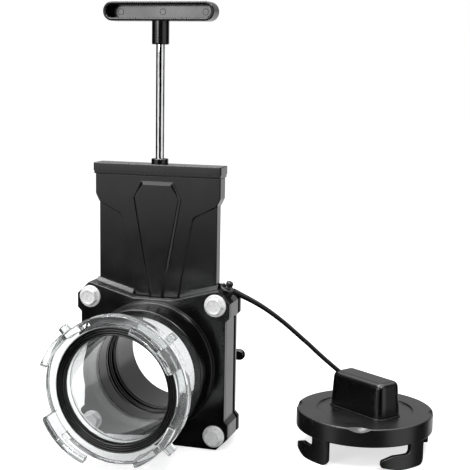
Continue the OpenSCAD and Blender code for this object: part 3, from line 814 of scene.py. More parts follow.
class VALVE_OT_seals(bpy.types.Operator):
    """Two lipped rubber seals that the blade slides between"""

    bl_idname = "valve.seals"
    bl_label = "Blade seals"

    def execute(self, context):
        lip = sizes(context, "valve_flange").seal_lip
        for name in ("front_seal", "rear_seal"):
            (near, far), outer = span(name, Y), high(name, X)
            third = (far - near) / 3
            # From its face inwards: an edge, a lip and the groove behind it. The other half
            # of its depth is alike.
            half = [
                (BORE_R - 0.1, 0.2), (BORE_R - lip, 0.3 * third), (BORE_R - lip, 0.8 * third),
                (BORE_R + 0.7, 1.2 * third),
            ]
            profile = [(radius, near + depth) for radius, depth in half]
            profile += [(radius, far - depth) for radius, depth in reversed(half)]
            profile += [(outer, far - 0.2), (outer, near + 0.2)]
            surface = turned(rounded(profile, FINE, 3), 128)
            add_piece("lipped_" + name, [ring(lying(surface))], "black_rubber", [name])
        return {"FINISHED"}


class VALVE_OT_top_cap(bpy.types.Operator):
    """Glued cap over the housing, with the rod's gland"""

    bl_idname = "valve.top_cap"
    bl_label = "Top cap"

    def execute(self, context):
        flange = sizes(context, "valve_flange")
        foot, top = span("top_cap", Z)
        band, rod_r = foot + flange.lid_band, high("gate_rod", X)
        corners = rectangle(high("top_cap", X), high("top_cap", Y))
        outline = refined(rounded(corners, 1.0), 4)
        side = np.vstack([
            edge_rows(foot, band, 0.2, SHARP, 2) + [flange.lid_inset, 0],
            edge_rows(band, top, 0.25, 0.7),
        ])
        hole_r = rod_r + 0.5
        hole = circles(outline, [(hole_r, top), (hole_r, foot)])
        surface = np.vstack([walls(outline, side), hole])
        add_piece("moulded_top_cap", [ring(surface)], "black_abs", ["top_cap"])

        gland_r, gland_top, slide_r = high("rod_gland", X), high("rod_gland", Z), rod_r + 0.08
        profile = rounded(
            [(gland_r, top), (gland_r, gland_top), (slide_r, gland_top), (slide_r, top)],
            [SHARP, BLUNT, EASED, SHARP],
        )
        add_piece("gland_ring", [ring(turned(profile, 64))], "black_abs", ["rod_gland"])
        return {"FINISHED"}


class VALVE_OT_handle(bpy.types.Operator):
    """Hollow-fronted T handle with its boss, and the rod"""

    bl_idname = "valve.handle"
    bl_label = "Handle and rod"

    def execute(self, context):
        handle = sizes(context, "valve_handle")
        half_l, rod_r = high("handle_bar", X), high("gate_rod", X)
        boss_foot, top = span("handle_bar", Z)
        bar_foot = boss_foot + handle.boss_length
        half_h = (top - bar_foot) / 2
        centre_z = top - half_h
        front, back = span("handle_bar", Y)
        floor, rim = back - handle.floor, handle.rim
        lip = 0.49 * rim
        outline = refined(rounded(rectangle(half_l, half_h), 0.999 * half_h, 14), 4)
        shell = np.vstack([
            edge_rows(back, front, handle.back_round, lip, 5),
            edge_rows(front, floor, lip, 0.6, 5) * [-1, 1] + [rim, 0],
        ])
        patches = [solid(lying(walls(outline, shell), (0, centre_z)))]
        # The ejector marks are low rings on the recess floor, in its middle and near its ends.
        outer, inner, root, rise = handle.mark_radius, handle.mark_radius - 0.5, -0.2, 0.18
        mark = rounded([(outer, root), (outer, rise), (inner, rise), (inner, root)], 0.1, 2)
        mark = turned(mark, 32) * [1, 1, -1] + [0, 0, floor]
        for share in (-0.77, 0, 0.77):
            patches.append(ring(lying(mark, (share * half_l, centre_z))))
        # The boss goes up 1.5 mm into the bar.
        boss_r, boss_top = handle.boss_radius, bar_foot + 1.5
        boss = rounded(
            [(rod_r, boss_foot), (boss_r, boss_foot), (boss_r, boss_top), (rod_r, boss_top)],
            [0.4, BLUNT, 0.1, SHARP],
        )
        patches.append(ring(turned(boss, 64)))
        add_piece("t_handle", patches, "black_abs", ["handle_bar"], "gate")

        rod_low, rod_high = span("gate_rod", Z)
        profile = rounded(
            [(0.01, rod_low), (rod_r, rod_low), (rod_r, rod_high), (0.01, rod_high)],
            EASED, 3, closed=False,
        )
        add_piece("chromed_rod", [solid(turned(profile, 64))], "chrome_rod", ["gate_rod"], "gate")
        return {"FINISHED"}


# ------------------------------------------------------------------ coupler


def hook_outline(hook, reach, tip=0.0):
    """A bayonet hook unrolled flat: across and down, the stem first, the finger to the left.

    A finger keeps its height to a square end where tip is 0. Otherwise it narrows to a round
    tip of that radius, halfway up, from 0.4 of its length on its outer side and 0.6 on its
    inner side. The stem's outer corner has 0.42 of the finger's height as its radius.
    """
    stem, finger, gap = hook.stem, hook.finger, hook.gap
    corner = 0.42 * (reach - gap)
    if not tip:
        corners = [
            (stem, -1), (stem, reach), (-finger, reach), (-finger, gap), (0, gap), (0, -1),
        ]
        return rounded(corners, [SHARP, corner, 0.7, 0.7, hook.hook_fillet, SHARP], 5)
    tip_z = (gap + reach) / 2
    corners = [
        (stem, -1), (stem, reach), (-0.4 * finger, reach), (-finger, tip_z + tip),
        (-finger, tip_z - tip), (-0.6 * finger, gap), (0, gap), (0, -1),
    ]
    return rounded(corners, [SHARP, corner, 6, tip, tip, 6, hook.hook_fillet, SHARP], 6)


def gathered(name, meshes):
    """Several closed meshes in one, with the faces of each turned outwards."""
    whole = bmesh.new()
    for mesh in meshes:
        whole.from_mesh(mesh)
        bpy.data.meshes.remove(mesh)
    bmesh.ops.recalc_face_normals(whole, faces=whole.faces)
    joined = bpy.data.meshes.new(name)
    whole.to_mesh(joined)
    whole.free()
    return joined


def hook_meshes(hook, outline, inner, hand, settle):
    """Four hooks a quarter turn apart.

    The flat outline gets the wall's thickness and round edges. It is sliced across every
    2 mm between its ends, and rolled about the axis: angle = distance across / middle
    radius, anticlockwise for a hand of 1 and clockwise for -1. Settle is a function that
    takes the rolled points to their place.
    """
    outer, edge, slice_mm = inner + hook.hook_wall, 0.7, 2.0
    flat = new_mesh("hook", [solid(walls(outline, edge_rows(inner, outer, edge, edge)))])
    sliced = bmesh.new()
    sliced.from_mesh(flat)
    left, right = outline[:, 0].min(), outline[:, 0].max()
    for cut in np.arange(left + 1.5, right - 0.5, slice_mm):
        bmesh.ops.bisect_plane(
            sliced,
            geom=sliced.verts[:] + sliced.edges[:] + sliced.faces[:],
            dist=1e-7,
            plane_co=(cut * MM, 0, 0),
            plane_no=(1, 0, 0),
        )
    sliced.to_mesh(flat)
    sliced.free()
    points = np.empty(len(flat.vertices) * 3)
    flat.vertices.foreach_get("co", points)
    across, down, radius = points.reshape(-1, 3).T / MM
    hooks = []
    for turn in QUARTER_TURNS:
        a = hook.hook_turn + turn + hand * (across - hook.stem / 2) / ((inner + outer) / 2)
        rolled = settle(np.stack([radius * np.cos(a), radius * np.sin(a), -down], axis=-1))
        mesh = flat.copy()
        mesh.vertices.foreach_set("co", (rolled * MM).ravel())
        hooks.append(mesh)
    bpy.data.meshes.remove(flat)
    return hooks


def united(name, body, other):
    """One closed mesh from a body and the solids that overlap it, with no walls inside, so
    that the clear plastic shows as one moulding.
    """
    objects = [bpy.data.objects.new("part", mesh) for mesh in (body, other)]
    for item in objects:
        bpy.context.scene.collection.objects.link(item)
    union = objects[0].modifiers.new("union", "BOOLEAN")
    union.operation = "UNION"
    union.solver = "FAST"
    union.object = objects[1]
    bpy.context.view_layer.update()
    graph = bpy.context.evaluated_depsgraph_get()
    mesh = bpy.data.meshes.new_from_object(objects[0].evaluated_get(graph))
    mesh.name = name
    for item in objects:
        old = item.data
        bpy.data.objects.remove(item)
        bpy.data.meshes.remove(old)
    return mesh


class VALVE_OT_coupler(bpy.types.Operator):
    """Clear coupler: tube, rim, grip blocks and four bayonet hooks, and its face gasket"""

    bl_idname = "valve.coupler"
    bl_label = "Clear coupler"

    def execute(self, context):
        coupler = sizes(context, "valve_coupler")
        mouth, rim = span("coupler_ring", Y)
        face, seat = span("coupler_gasket", Y)
        seat_r, rim_r = high("coupler_gasket", X), coupler.rim_radius
        body = self.body(coupler, rim, face, seat)
        hooks = hook_meshes(
            coupler, hook_outline(coupler, face - mouth), seat_r + coupler.hook_clearance, -1,
            lambda points: lying(points + [0, 0, face]),
        )
        # The blocks' roots and ends stay within the rim, clear of its rounded edges.
        foot, half = rim_r - 0.5, coupler.block_width / 2
        box = [
            (foot, -half), (rim_r + coupler.block_rise, -half),
            (rim_r + coupler.block_rise, half), (foot, half),
        ]
        block = walls(
            rounded(box, [SHARP, 1, 1, SHARP]), edge_rows(face + 0.9, rim - 1.3, 0.35, 0.35)
        )
        parts = []
        for hook, turn in zip(hooks, QUARTER_TURNS):
            parts += [hook, new_mesh("block", [solid(lying(rotated(block, math.pi / 4 + turn)))])]
        mesh = united("clear_coupler", body, gathered("hooks_and_blocks", parts))
        add_piece("clear_coupler", mesh, "clear_plastic", ["clear_tube", "coupler_ring"], sharp=30)

        # Across the gasket's face, depth = groove (1 - sqrt |sin|), with a hump for each rib.
        share = np.linspace(0, 1, 8 * coupler.gasket_ribs + 1)
        crown = np.abs(np.sin(share * np.pi * coupler.gasket_ribs)) ** 0.5
        sunk = coupler.groove * (1 - crown)
        ribbed = np.stack([BORE_R + (seat_r - BORE_R) * share, face + sunk], axis=-1)
        profile = np.vstack([[(BORE_R, seat)], ribbed, [(seat_r, seat)]])
        gasket = [ring(lying(turned(profile, 128)))]
        add_piece("face_gasket", gasket, "black_rubber", ["coupler_gasket"])
        return {"FINISHED"}

    def body(self, coupler, rim, face, seat):
        """The tube with its ribs and rim: one profile of radius and depth, carried round the
        bore's axis in 160 steps.
        """
        tube_r, tube_end = high("clear_tube", X), high("clear_tube", Y)
        rim_r, recess_r = coupler.rim_radius, high("coupler_gasket", X) + 0.08
        rib_r, half = tube_r + coupler.rib_rise, coupler.rib_width / 2
        # The first rib is 1.4 spacings behind the rim, and each further one a spacing more.
        ribs = []
        for rib in range(coupler.ribs, 0, -1):
            place = rim + (rib + 0.4) * coupler.rib_spacing
            ribs += [
                (tube_r, place + half), (rib_r, place + half),
                (rib_r, place - half), (tube_r, place - half),
            ]
        recess = seat + 0.05
        profile = [
            (BORE_R, recess), (BORE_R, tube_end), (tube_r, tube_end), *ribs,
            (tube_r, rim), (rim_r, rim), (rim_r, face), (recess_r, face), (recess_r, recess),
        ]
        radii = [FINE, FINE, EASED] + [0.35] * len(ribs) + [2.5, 1.2, BLUNT, 0.4, 0.2]
        return new_mesh("body", [ring(lying(turned(rounded(profile, radii), 160)))])


# ------------------------------------------------------------------ bolts


def hexagon_wall(start, end, across_flats, chamfer_start=False):
    """Grid up a hexagon's side, in 96 directions; a 30 degree cone cuts its corners.

    Hexagon: radius = half across flats / cos of the angle off the nearest flat's middle.
    Cone: radius = 0.96 of half across flats + distance from the chamfered end x tan 60.
    The wall has the smaller of the two. Its end is always chamfered.
    """
    a = np.linspace(0, 2 * np.pi, 96, endpoint=False)
    hexagon = across_flats / 2 / np.cos((a + np.pi / 6) % (np.pi / 3) - np.pi / 6)
    levels = np.linspace(start, end, 15)
    from_chamfer = np.abs(end - levels)
    if chamfer_start:
        from_chamfer = np.minimum(from_chamfer, np.abs(levels - start))
    cone = across_flats / 2 * 0.96 + from_chamfer * math.tan(math.radians(60))
    radius = np.minimum(hexagon[None], cone[:, None])
    levels = np.broadcast_to(levels[:, None], radius.shape)
    return np.stack([radius * np.cos(a), radius * np.sin(a), levels], axis=-1)


def thread(radius, start, end, pitch, depth):
    """Grid up a threaded shank. Its radius falls and rises once a pitch, along a helix, and
    tapers by 1 mm over the last sixth.
    """
    a = np.linspace(0, 2 * np.pi, 40, endpoint=False)
    rows = int(abs(end - start) / pitch * 8)
    share = np.linspace(0, 1, rows + 1)[:, None]
    level = start + (end - start) * share + 0 * a
    phase = level / pitch + a / (2 * np.pi)
    taper = np.maximum(0, 1 - 6 * (1 - share))
    radius = radius - depth * np.abs(2 * (phase % 1) - 1) - taper
    return np.stack([radius * np.cos(a), radius * np.sin(a), level], axis=-1)


class VALVE_OT_bolts(bpy.types.Operator):
    """Four flange bolts with washer heads, and their nuts"""

    bl_idname = "valve.bolts"
    bl_label = "Bolts and nuts"

    def execute(self, context):
        fine = sizes(context, "valve_bolt")
        flats, shank_r = fine.across_flats, fine.shank_radius
        seat = low("front_plate", Y) + sizes(context, "valve_flange").pad_rise
        rest = seat - fine.washer_thickness
        turns = {"upper_left": 0.2, "upper_right": 0.55, "lower_left": 0.9, "lower_right": 0.35}
        for corner, turn in turns.items():
            bolt, nut = corner + "_bolt", corner + "_nut"
            centre = middle(bolt, X), middle(bolt, Z)
            head, tip = span(bolt, Y)
            washer_r = high(bolt, X) - centre[0]
            washer = rounded(
                [(0.5, seat), (washer_r, seat), (washer_r, rest), (flats / 2, rest - 0.2),
                 (0.5, rest - 0.2)],
                [0, FINE, 0.9, SHARP, 0], closed=False,
            )
            # A head's face is flat at its rim and dished by 0.5 mm towards its middle.
            dish = rounded(
                [(flats * 0.48, head), (flats * 0.46, head), (flats * 0.36, head + 0.35),
                 (0.3, head + 0.5)],
                0.4, 3, closed=False,
            )
            patches = [
                solid(turned(washer, 64)),
                solid(np.vstack([hexagon_wall(rest, head, flats), turned(dish)])),
                solid(thread(shank_r, seat, tip, fine.pitch, fine.thread_depth)),
            ]
            self.add_fastener(bolt, patches, centre, turn)
            nut_seat, nut_end = span(nut, Y)
            hole_r = shank_r + 0.1
            hole = [(hole_r, nut_end), (hole_r, nut_seat)]
            wall = np.vstack([hexagon_wall(nut_seat, nut_end, flats, True), turned(hole)])
            self.add_fastener(nut, [ring(wall)], centre, turn + 0.3)
        return {"FINISHED"}

    def add_fastener(self, name, patches, centre, turn):
        """Turns a fastener about its own axis, and lays that axis along Y at its centre."""
        moved = [(lying(rotated(points, turn), centre), faces) for points, faces in patches]
        add_piece("plated_" + name, moved, "zinc_steel", [name], sharp=26)


# ------------------------------------------------------------------ cap and strap


class VALVE_OT_cap(bpy.types.Operator):
    """Bayonet cap: scalloped skirt, sunk middle, four hooks, grip and gasket"""

    bl_idname = "valve.cap"
    bl_label = "Bayonet cap"

    def execute(self, context):
        cap = sizes(context, "valve_cap")
        centre = np.array([middle("cap_gasket", X), middle("cap_gasket", Y), 0])
        outer, top = high("bayonet_cap", X) - centre[0], high("bayonet_cap", Z)
        foot, ceiling = top - cap.skirt, top - cap.top_thickness
        floor = top - cap.step_depth
        surface = self.cover(cap, outer, top, foot, ceiling, floor)
        cover = new_mesh("cover", [solid(surface + centre)])
        hooks = hook_meshes(
            cap, hook_outline(cap, foot, cap.finger_tip), outer - cap.hook_inset - cap.hook_wall,
            1, lambda points: points + centre + [0, 0, foot],
        )
        mesh = gathered("scalloped_cap", [cover, *hooks])
        add_piece("scalloped_cap", mesh, "black_abs", ["bayonet_cap"], finish="matt_abs")
        self.grip(cap, centre, floor)
        self.gasket(cap, centre, ceiling)
        return {"FINISHED"}

    def cover(self, cap, outer, top, foot, ceiling, floor):
        """The cap's skirt and disc: a profile from inside its top, round the skirt and over
        the edge to the sunk middle, carried round in 1 degree steps.
        """
        inner, step_r = outer - cap.wall, cap.step_radius
        ledge, shelf = top - cap.scallop_drop - 1, outer - cap.scallop_cut - 1
        skirt = rounded(
            [(inner, ceiling), (inner, foot), (outer, foot), (outer, ledge)],
            [0, BLUNT, 1.0, 0], closed=False,
        )
        edge = rounded([(outer, ledge), (outer, top), (shelf, top)], 1.1, 8, closed=False)
        disc = rounded(
            [(shelf, top), (step_r, top), (step_r - 0.8, floor), (0.5, floor)],
            BLUNT, closed=False,
        )
        return np.vstack([
            turned(np.vstack([[(0.5, ceiling)], skirt]), 360),
            self.scalloped(turned(refined(edge, 0.3, closed=False), 360), cap, outer, top),
            turned(disc, 360),
        ])

    def scalloped(self, points, cap, outer, top):
        """Edge points moved out of the balls that cut the finger scallops.

        A ball that cuts the edge over half a width w, a depth c of the top and a drop p of
        the skirt stands (w w - c c) / 2c outside the edge and (w w - p p) / 2p over the top.
        In the upright plane at an angle d off a scallop's middle, the ball of radius q at
        a distance D is a circle about D cos d of radius sqrt(q q - D D sin d sin d), and
        points inside it move straight away from its centre to its edge.
        """
        half, cut, drop = cap.scallop_width / 2, cap.scallop_cut, cap.scallop_drop
        out, over = (half**2 - cut**2) / (2 * cut), (half**2 - drop**2) / (2 * drop)
        ball = math.sqrt(half**2 + out**2 + over**2)
        distance = outer + out
        step = 2 * np.pi / cap.scallops
        a = np.arctan2(points[..., 1], points[..., 0])
        d = (a - cap.scallop_turn + step / 2) % step - step / 2
        centre_r = distance * np.cos(d)
        circle = np.sqrt(np.maximum(ball**2 - (distance * np.sin(d)) ** 2, 0))
        away_r = np.hypot(points[..., 0], points[..., 1]) - centre_r
        away_z = points[..., 2] - top - over
        apart = np.hypot(away_r, away_z)
        push = np.where(apart < circle, circle / apart, 1)
        radius, height = centre_r + away_r * push, top + over + away_z * push
        return np.stack([radius * np.cos(a), radius * np.sin(a), height], axis=-1)

    def grip(self, cap, centre, foot):
        """The grip: a tapered bar with round edges, on a thin flange."""
        top, edge = high("cap_grip", Z), cap.grip_round
        corners = rectangle(cap.grip_length / 2, cap.grip_width / 2)
        outline = refined(rounded(corners, 1.6 * edge, 8), 2)
        bar = edge_rows(foot, top, SHARP, edge, 8)
        bar[:, 0] += cap.grip_draft * (bar[:, 1] - foot) / (top - foot)
        flange_reach, flange_top = 0.8, foot + 0.9
        flange = edge_rows(foot - 0.2, flange_top, SHARP, 0.4) - [flange_reach, 0]
        patches = [
            solid(rotated(walls(outline, rows), cap.grip_turn) + centre) for rows in (bar, flange)
        ]
        add_piece("moulded_grip", patches, "black_abs", ["cap_grip"], finish="grip_abs")

    def gasket(self, cap, centre, ceiling):
        """The flat rubber ring inside the cap."""
        outer, foot = high("cap_gasket", X) - centre[0], low("cap_gasket", Z)
        inner = outer - cap.gasket_width
        profile = [(inner, ceiling), (inner, foot), (outer, foot), (outer, ceiling)]
        surface = turned(rounded(profile, EASED, 3)) + centre
        add_piece("cap_ring_gasket", [ring(surface)], "black_rubber", ["cap_gasket"])


# The strap's route in metres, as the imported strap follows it.
STRAP = np.array([
    (0.0574, 0.0004, 0.1167), (0.0614, 0.0023, 0.1144), (0.0658, 0.0044, 0.1119),
    (0.0708, 0.0068, 0.1089), (0.0757, 0.0091, 0.1057), (0.0807, 0.0113, 0.1021),
    (0.0856, 0.0137, 0.0981), (0.0905, 0.0159, 0.0939), (0.0955, 0.0182, 0.0893),
    (0.1004, 0.0205, 0.0845), (0.1054, 0.0227, 0.0796), (0.1104, 0.025, 0.0747),
    (0.1153, 0.0272, 0.0696), (0.1203, 0.0295, 0.0646), (0.1253, 0.0318, 0.0598),
    (0.1302, 0.0339, 0.0553), (0.1347, 0.036, 0.0516),
])


def smooth_route(points, per_side):
    """A Catmull-Rom curve through the points: each side is a cubic whose end slopes are
    half the step between the neighbours on either side.
    """
    before = np.vstack([2 * points[:1] - points[1:2], points, 2 * points[-1:] - points[-2:-1]])
    a, b, c, d = (p[:, None] for p in (before[:-3], before[1:-2], before[2:-1], before[3:]))
    t = (np.arange(per_side) / per_side)[None, :, None]
    curve = 0.5 * (
        2 * b + (c - a) * t + (2 * a - 5 * b + 4 * c - d) * t**2 + (3 * b - a - 3 * c + d) * t**3
    )
    return np.vstack([curve.reshape(-1, 3), points[-1:]])


def unit(vectors):
    """Each vector divided by its length."""
    return vectors / np.linalg.norm(vectors, axis=1, keepdims=True)


class VALVE_OT_tether(bpy.types.Operator):
    """Moulded strap from the anchor on the flange to the cap's grip"""

    bl_idname = "valve.tether"
    bl_label = "Strap and anchor"

    def execute(self, context):
        tether = sizes(context, "valve_tether")
        self.strap(tether)
        self.anchor(tether, sizes(context, "valve_flange").ear_chamfer)
        return {"FINISHED"}

    def strap(self, tether):
        """The strap: a rounded-square section, |cos|^2.6 + |sin|^2.6 = 1 / radius^2.6, carried
        along its route. Its radius falls from the root's as e^(-distance / taper).
        """
        route = smooth_route(STRAP, 5)
        steps = np.linalg.norm(np.diff(route, axis=0), axis=1)
        travelled = np.concatenate([[0], np.cumsum(steps)])
        heading = unit(np.gradient(route, axis=0))
        across = unit(np.cross(heading, [0, 0, 1]))
        over = np.cross(across, heading)
        root, slim, taper = tether.root_radius * MM, tether.strap_radius * MM, tether.taper * MM
        radius = slim + (root - slim) * np.exp(-travelled / taper)
        a, power = np.linspace(0, 2 * np.pi, 24, endpoint=False), 2.6
        square = (np.abs(np.cos(a)) ** power + np.abs(np.sin(a)) ** power) ** (-1 / power)
        section = radius[:, None, None] * square[None, :, None]
        rings = route[:, None] + section * (
            np.cos(a)[None, :, None] * across[:, None] + np.sin(a)[None, :, None] * over[:, None]
        )
        strap = add_piece(
            "moulded_strap", [solid(rings / MM)], "tether_plastic", ["tether_strap"]
        )

    def anchor(self, tether, cut):
        """The strap's eye on its pin, with a ribbed button over it and a moulded pip beside."""
        eye_r, neck_r, button_r = tether.eye_radius, tether.neck_radius, tether.button_radius
        eye_foot, eye_top = -tether.eye_depth, tether.eye_rise
        foot = eye_top + tether.neck_length
        top = foot + tether.button_height
        eye = rounded(
            [
                (0.3, eye_foot), (eye_r, eye_foot), (eye_r, eye_top), (neck_r + 0.8, eye_top),
                (neck_r, foot + 0.2), (0.3, foot + 0.2),
            ],
            [0, 0.6, 1.2, EASED, SHARP, 0], 5, closed=False,
        )
        pip_r, pip_foot, pip_top = tether.pip_radius, eye_top - 1, eye_top + tether.pip_height
        pip = rounded(
            [(0.2, pip_foot), (pip_r, pip_foot), (pip_r - 0.2, pip_top - 0.1), (0.2, pip_top)],
            [0, SHARP, 0.6, 0], closed=False,
        )
        pip_place = [-3.4, -1.2, 0]
        pip = turned(pip, 24) + pip_place
        parts = [solid(self.leaning(part, tether, cut)) for part in (turned(eye, 64), pip)]
        add_piece("strap_eye", parts, "tether_plastic", ["tether_anchor"])

        profile = rounded(
            [
                (0.2, foot), (button_r - 0.5, foot), (button_r, foot + 0.8),
                (button_r, top - 1), (button_r - 1, top), (0.2, top),
            ],
            [0, 0.2, EASED, EASED, 0.4, 0], closed=False,
        )
        # Grooves down the button's side, below its top edge: radius x (1 - depth (1 - cos of
        # grooves times the angle) / 2).
        steps, grooves, depth = 72, 8, 0.07
        button = turned(profile, steps)
        a = np.linspace(0, 2 * np.pi, steps, endpoint=False)
        below = button[..., 2] < top - 0.4
        button[..., :2] *= (1 - depth * (0.5 - 0.5 * np.cos(grooves * a)) * below)[..., None]
        parts = [solid(self.leaning(button, tether, cut))]
        add_piece("ribbed_button", parts, "tether_plastic", ["tether_button"])

    def leaning(self, points, tether, cut):
        """Points of an upright piece leaned over towards +X, x = x cos + z sin and
        z = z cos - x sin, and moved to a foot 0.2 of the way down the ear's cut corner.
        """
        ear = high("front_plate", X)
        c, s = math.cos(tether.anchor_lean), math.sin(tether.anchor_lean)
        x, y, z = points[..., 0], points[..., 1], points[..., 2]
        foot = [ear - 0.8 * cut, 0, AXIS_Z + ear - 0.2 * cut]
        return np.stack([c * x + s * z, y, c * z - s * x], axis=-1) + foot


class VALVE_OT_packed_pieces(bpy.types.Operator):
    """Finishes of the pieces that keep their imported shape, with their edges rounded"""

    bl_idname = "valve.packed_pieces"
    bl_label = "Housing and blade"

    def execute(self, context):
        slots = {
            "gate_housing": "black_abs",
            "centre_block": "black_abs",
            "gate_blade": "stainless_steel",
            "rod_clamp": "stainless_steel",
        }
        for name, slot in slots.items():
            node = frame["nodes"][name]
            paint(node, slot)
            weld = node.modifiers.new("merge corners", "WELD")
            weld.merge_threshold = 0.001 * MM
            bevel = node.modifiers.new("round edges", "BEVEL")
            bevel.width = 0.6 * MM
            bevel.segments = 2
            bevel.limit_method = "ANGLE"
            bevel.angle_limit = math.radians(22)
            bevel.harden_normals = True
        return {"FINISHED"}


# ------------------------------------------------------------------ stage

# Each lamp's place and size in metres, and its power in watts.
LAMPS = {
    "overhead_strip": ((-0.3, -0.15, 1.3), (0.18, 0.9), 12),
    "front_softbox": ((-0.42, -1.1, 0.55), (0.5, 0.5), 4.6),
    "right_lamp": ((0.55, -0.75, 1.15), (0.25, 0.25), 6),
}

# Ramps over the direction of a ray: its axis, where the ramp starts and ends along it, and
# its brightness there.
RAMPS = {
    "table": ("Z", -0.1, 0.06, 1.0, 0.5),
    "behind": ("Y", 0.7, 0.88, 0.0, 1.0),
    "left": ("X", -0.66, -0.54, 1.0, 0.0),
    "left_front": ("Y", -0.56, -0.44, 1.0, 0.0),
    "right_card": ("X", 0.66, 0.8, 0.0, 1.0),
    "ahead": ("Y", 0.0, 0.25, 1.0, 0.0),
    "table_edge": ("Z", -0.178, -0.09, 0.0, 1.25),
    "facing": ("X", -0.3, -0.12, 1.0, 0.0),
    "beside": ("X", -0.62, -0.5, 0.0, 1.0),
    "overhead": ("Z", 0.6, 0.8, 0.0, 3.3),
    "through": ("Y", -0.95, -0.5, 0.03, 1.0),
}

# How the studio that gloss sees is put together from the ramps, in order.
STUDIO = {
    "rear_table": ("MULTIPLY", "table", "behind"),
    "left_card": ("MULTIPLY", "left", "left_front"),
    "cards": ("ADD", "left_card", "right_card"),
    "side_cards": ("MULTIPLY", "cards", "ahead"),
    "front_width": ("MULTIPLY", "facing", "beside"),
    "front_strip": ("MULTIPLY", "table_edge", "front_width"),
    "front_table": ("MULTIPLY", "front_strip", "ahead"),
    "front": ("MAXIMUM", "front_table", "overhead"),
    "rear": ("MAXIMUM", "rear_table", "side_cards"),
    "studio": ("MAXIMUM", "rear", "front"),
}


def stand(item, right, up, back, place):
    """Puts a camera or lamp in the scene at a place, with its own three axes."""
    matrix = np.eye(4)
    matrix[:3] = np.stack([right, up, back, place], axis=-1)
    bpy.context.scene.collection.objects.link(item)
    item.matrix_world = Matrix(matrix.tolist())


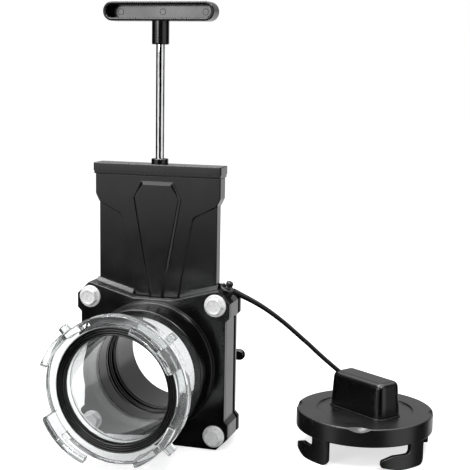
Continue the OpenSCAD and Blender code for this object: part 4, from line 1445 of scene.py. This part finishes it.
class VALVE_OT_stage(bpy.types.Operator):
    """Floor, lamps, world and camera"""

    bl_idname = "valve.stage"
    bl_label = "Stage"

    def execute(self, context):
        settings = context.scene.valve_stage
        self.camera(context, settings)
        self.floor(context, settings)
        for name, (place, size, power) in LAMPS.items():
            self.lamp(name, place, size, power)
        self.world(context)
        context.scene.view_settings.view_transform = "Standard"
        return {"FINISHED"}

    def camera(self, context, settings):
        """The camera: its back axis from azimuth and elevation, and rolled about it."""
        azimuth, elevation = settings.camera_azimuth, settings.camera_elevation
        back = np.array([
            math.sin(azimuth) * math.cos(elevation),
            -math.cos(azimuth) * math.cos(elevation),
            math.sin(elevation),
        ])
        right = np.array([math.cos(azimuth), math.sin(azimuth), 0])
        up = np.cross(back, right)
        c, s = math.cos(settings.camera_roll), math.sin(settings.camera_roll)
        data = bpy.data.cameras.new("camera")
        data.lens, data.sensor_width = settings.lens, 36
        camera = bpy.data.objects.new("camera", data)
        stand(camera, c * right + s * up, c * up - s * right, back, settings.camera_place)
        context.scene.camera = camera

    def floor(self, context, settings):
        """A pale matt floor. To the camera and through clear plastic it also glows a little,
        so that it looks pale with no more light on the valve.
        """
        half, front, brightness = 6.0, -0.42, 0.66
        mesh = bpy.data.meshes.new("floor")
        corners = [(-half, front, 0), (half, front, 0), (half, half, 0), (-half, half, 0)]
        mesh.from_pydata(corners, [], [(0, 1, 2, 3)])
        floor = bpy.data.objects.new("floor", mesh)
        context.scene.collection.objects.link(floor)
        material, tree, shader, _ = new_material(
            "matt_studio_floor",
            {
                "Roughness": 0.9,
                "Base Color": shade(settings.floor_colour),
                "Specular IOR Level": 0.0,
                "Emission Color": (1, 1, 1, 1),
            },
        )
        rays = add_node(tree, "ShaderNodeLightPath")
        seen = add_node(
            tree,
            "ShaderNodeMath",
            {0: rays.outputs["Is Camera Ray"], 1: rays.outputs["Is Transmission Ray"]},
            operation="MAXIMUM",
        )
        glow = add_node(
            tree, "ShaderNodeMath", {0: seen.outputs[0]}, {1: brightness}, operation="MULTIPLY"
        )
        tree.links.new(glow.outputs[0], shader.inputs["Emission Strength"])
        mesh.materials.append(material)
        floor.visible_glossy = False

    def lamp(self, name, place, size, power):
        """A lamp that faces near the valve's middle, and isn't seen itself."""
        data = bpy.data.lights.new(name, "AREA")
        data.shape = "RECTANGLE"
        data.size, data.size_y = size
        data.energy = power
        lamp = bpy.data.objects.new(name, data)
        valve_middle = (0.03, 0, 0.12)
        back = np.subtract(place, valve_middle)
        back /= np.linalg.norm(back)
        right = np.cross([0, 0, 1], back)
        right /= np.linalg.norm(right)
        stand(lamp, right, np.cross(back, right), back, place)
        lamp.visible_camera = False

    def world(self, context):
        """White to the camera and through clear plastic; a plain grey light on matt faces;
        and a studio to gloss: a white table behind the valve under a dim wall, white cards
        on its left and right, a bright one overhead, and in front a table that falls off
        into the dark.
        """
        world = bpy.data.worlds.new("studio")
        world.use_nodes = True
        world.cycles.sampling_method = "NONE"
        context.scene.world = world
        tree = world.node_tree
        tree.nodes.clear()
        rays = add_node(tree, "ShaderNodeLightPath")
        way = add_node(tree, "ShaderNodeTexCoord").outputs["Generated"]
        parts = add_node(tree, "ShaderNodeSeparateXYZ", {"Vector": way})
        values = {}
        for name, (axis, *ends) in RAMPS.items():
            values[name] = add_node(
                tree,
                "ShaderNodeMapRange",
                {"Value": parts.outputs[axis]},
                dict(zip(("From Min", "From Max", "To Min", "To Max"), ends)),
                interpolation_type="SMOOTHSTEP",
            ).outputs["Result"]
        for name, (operation, one, other) in STUDIO.items():
            values[name] = add_node(
                tree, "ShaderNodeMath", {0: values[one], 1: values[other]}, operation=operation
            ).outputs[0]
        white = {"Color": (1, 1, 1, 1)}
        light = add_node(tree, "ShaderNodeBackground", sockets={**white, "Strength": 0.45})
        for ray, strength in (
            ("Is Glossy Ray", {"Strength": values["studio"]}),
            ("Is Transmission Ray", {"Strength": values["through"]}),
            ("Is Camera Ray", {}),
        ):
            seen = add_node(tree, "ShaderNodeBackground", strength, white)
            light = add_node(
                tree,
                "ShaderNodeMixShader",
                {0: rays.outputs[ray], 1: light.outputs[0], 2: seen.outputs[0]},
            )
        add_node(tree, "ShaderNodeOutputWorld", {"Surface": light.outputs[0]})


# ------------------------------------------------------------------ add-on


SETTINGS = {
    "valve_stage": ValveStageSettings,
    "valve_finish": ValveFinishSettings,
    "valve_flange": ValveFlangeSettings,
    "valve_coupler": ValveCouplerSettings,
    "valve_bolt": ValveBoltSettings,
    "valve_cap": ValveCapSettings,
    "valve_handle": ValveHandleSettings,
    "valve_tether": ValveTetherSettings,
}
OPERATORS = [
    VALVE_OT_finishes,
    VALVE_OT_stage,
    VALVE_OT_tether,
    VALVE_OT_front_flange,
    VALVE_OT_rear_flange,
    VALVE_OT_hub_lugs,
    VALVE_OT_ledges,
    VALVE_OT_seals,
    VALVE_OT_top_cap,
    VALVE_OT_handle,
    VALVE_OT_coupler,
    VALVE_OT_bolts,
    VALVE_OT_cap,
    VALVE_OT_packed_pieces,
]


class VALVE_PT_panel(bpy.types.Panel):
    """Lists the valve's operators"""

    bl_label = "Waste gate valve"
    bl_space_type = "VIEW_3D"
    bl_region_type = "UI"
    bl_category = "Valve"

    def draw(self, context):
        for operator in OPERATORS:
            self.layout.operator(operator.bl_idname)


def register():
    for name, group in SETTINGS.items():
        bpy.utils.register_class(group)
        setattr(bpy.types.Scene, name, bpy.props.PointerProperty(type=group))
    for item in (*OPERATORS, VALVE_PT_panel):
        bpy.utils.register_class(item)


def unregister():
    for item in (VALVE_PT_panel, *reversed(OPERATORS)):
        bpy.utils.unregister_class(item)
    for name, group in reversed(SETTINGS.items()):
        delattr(bpy.types.Scene, name)
        bpy.utils.unregister_class(group)


def main():
    register()
    for operator in OPERATORS:
        getattr(bpy.ops.valve, operator.bl_idname.split(".")[1])()


if __name__ == "__main__":
    main()
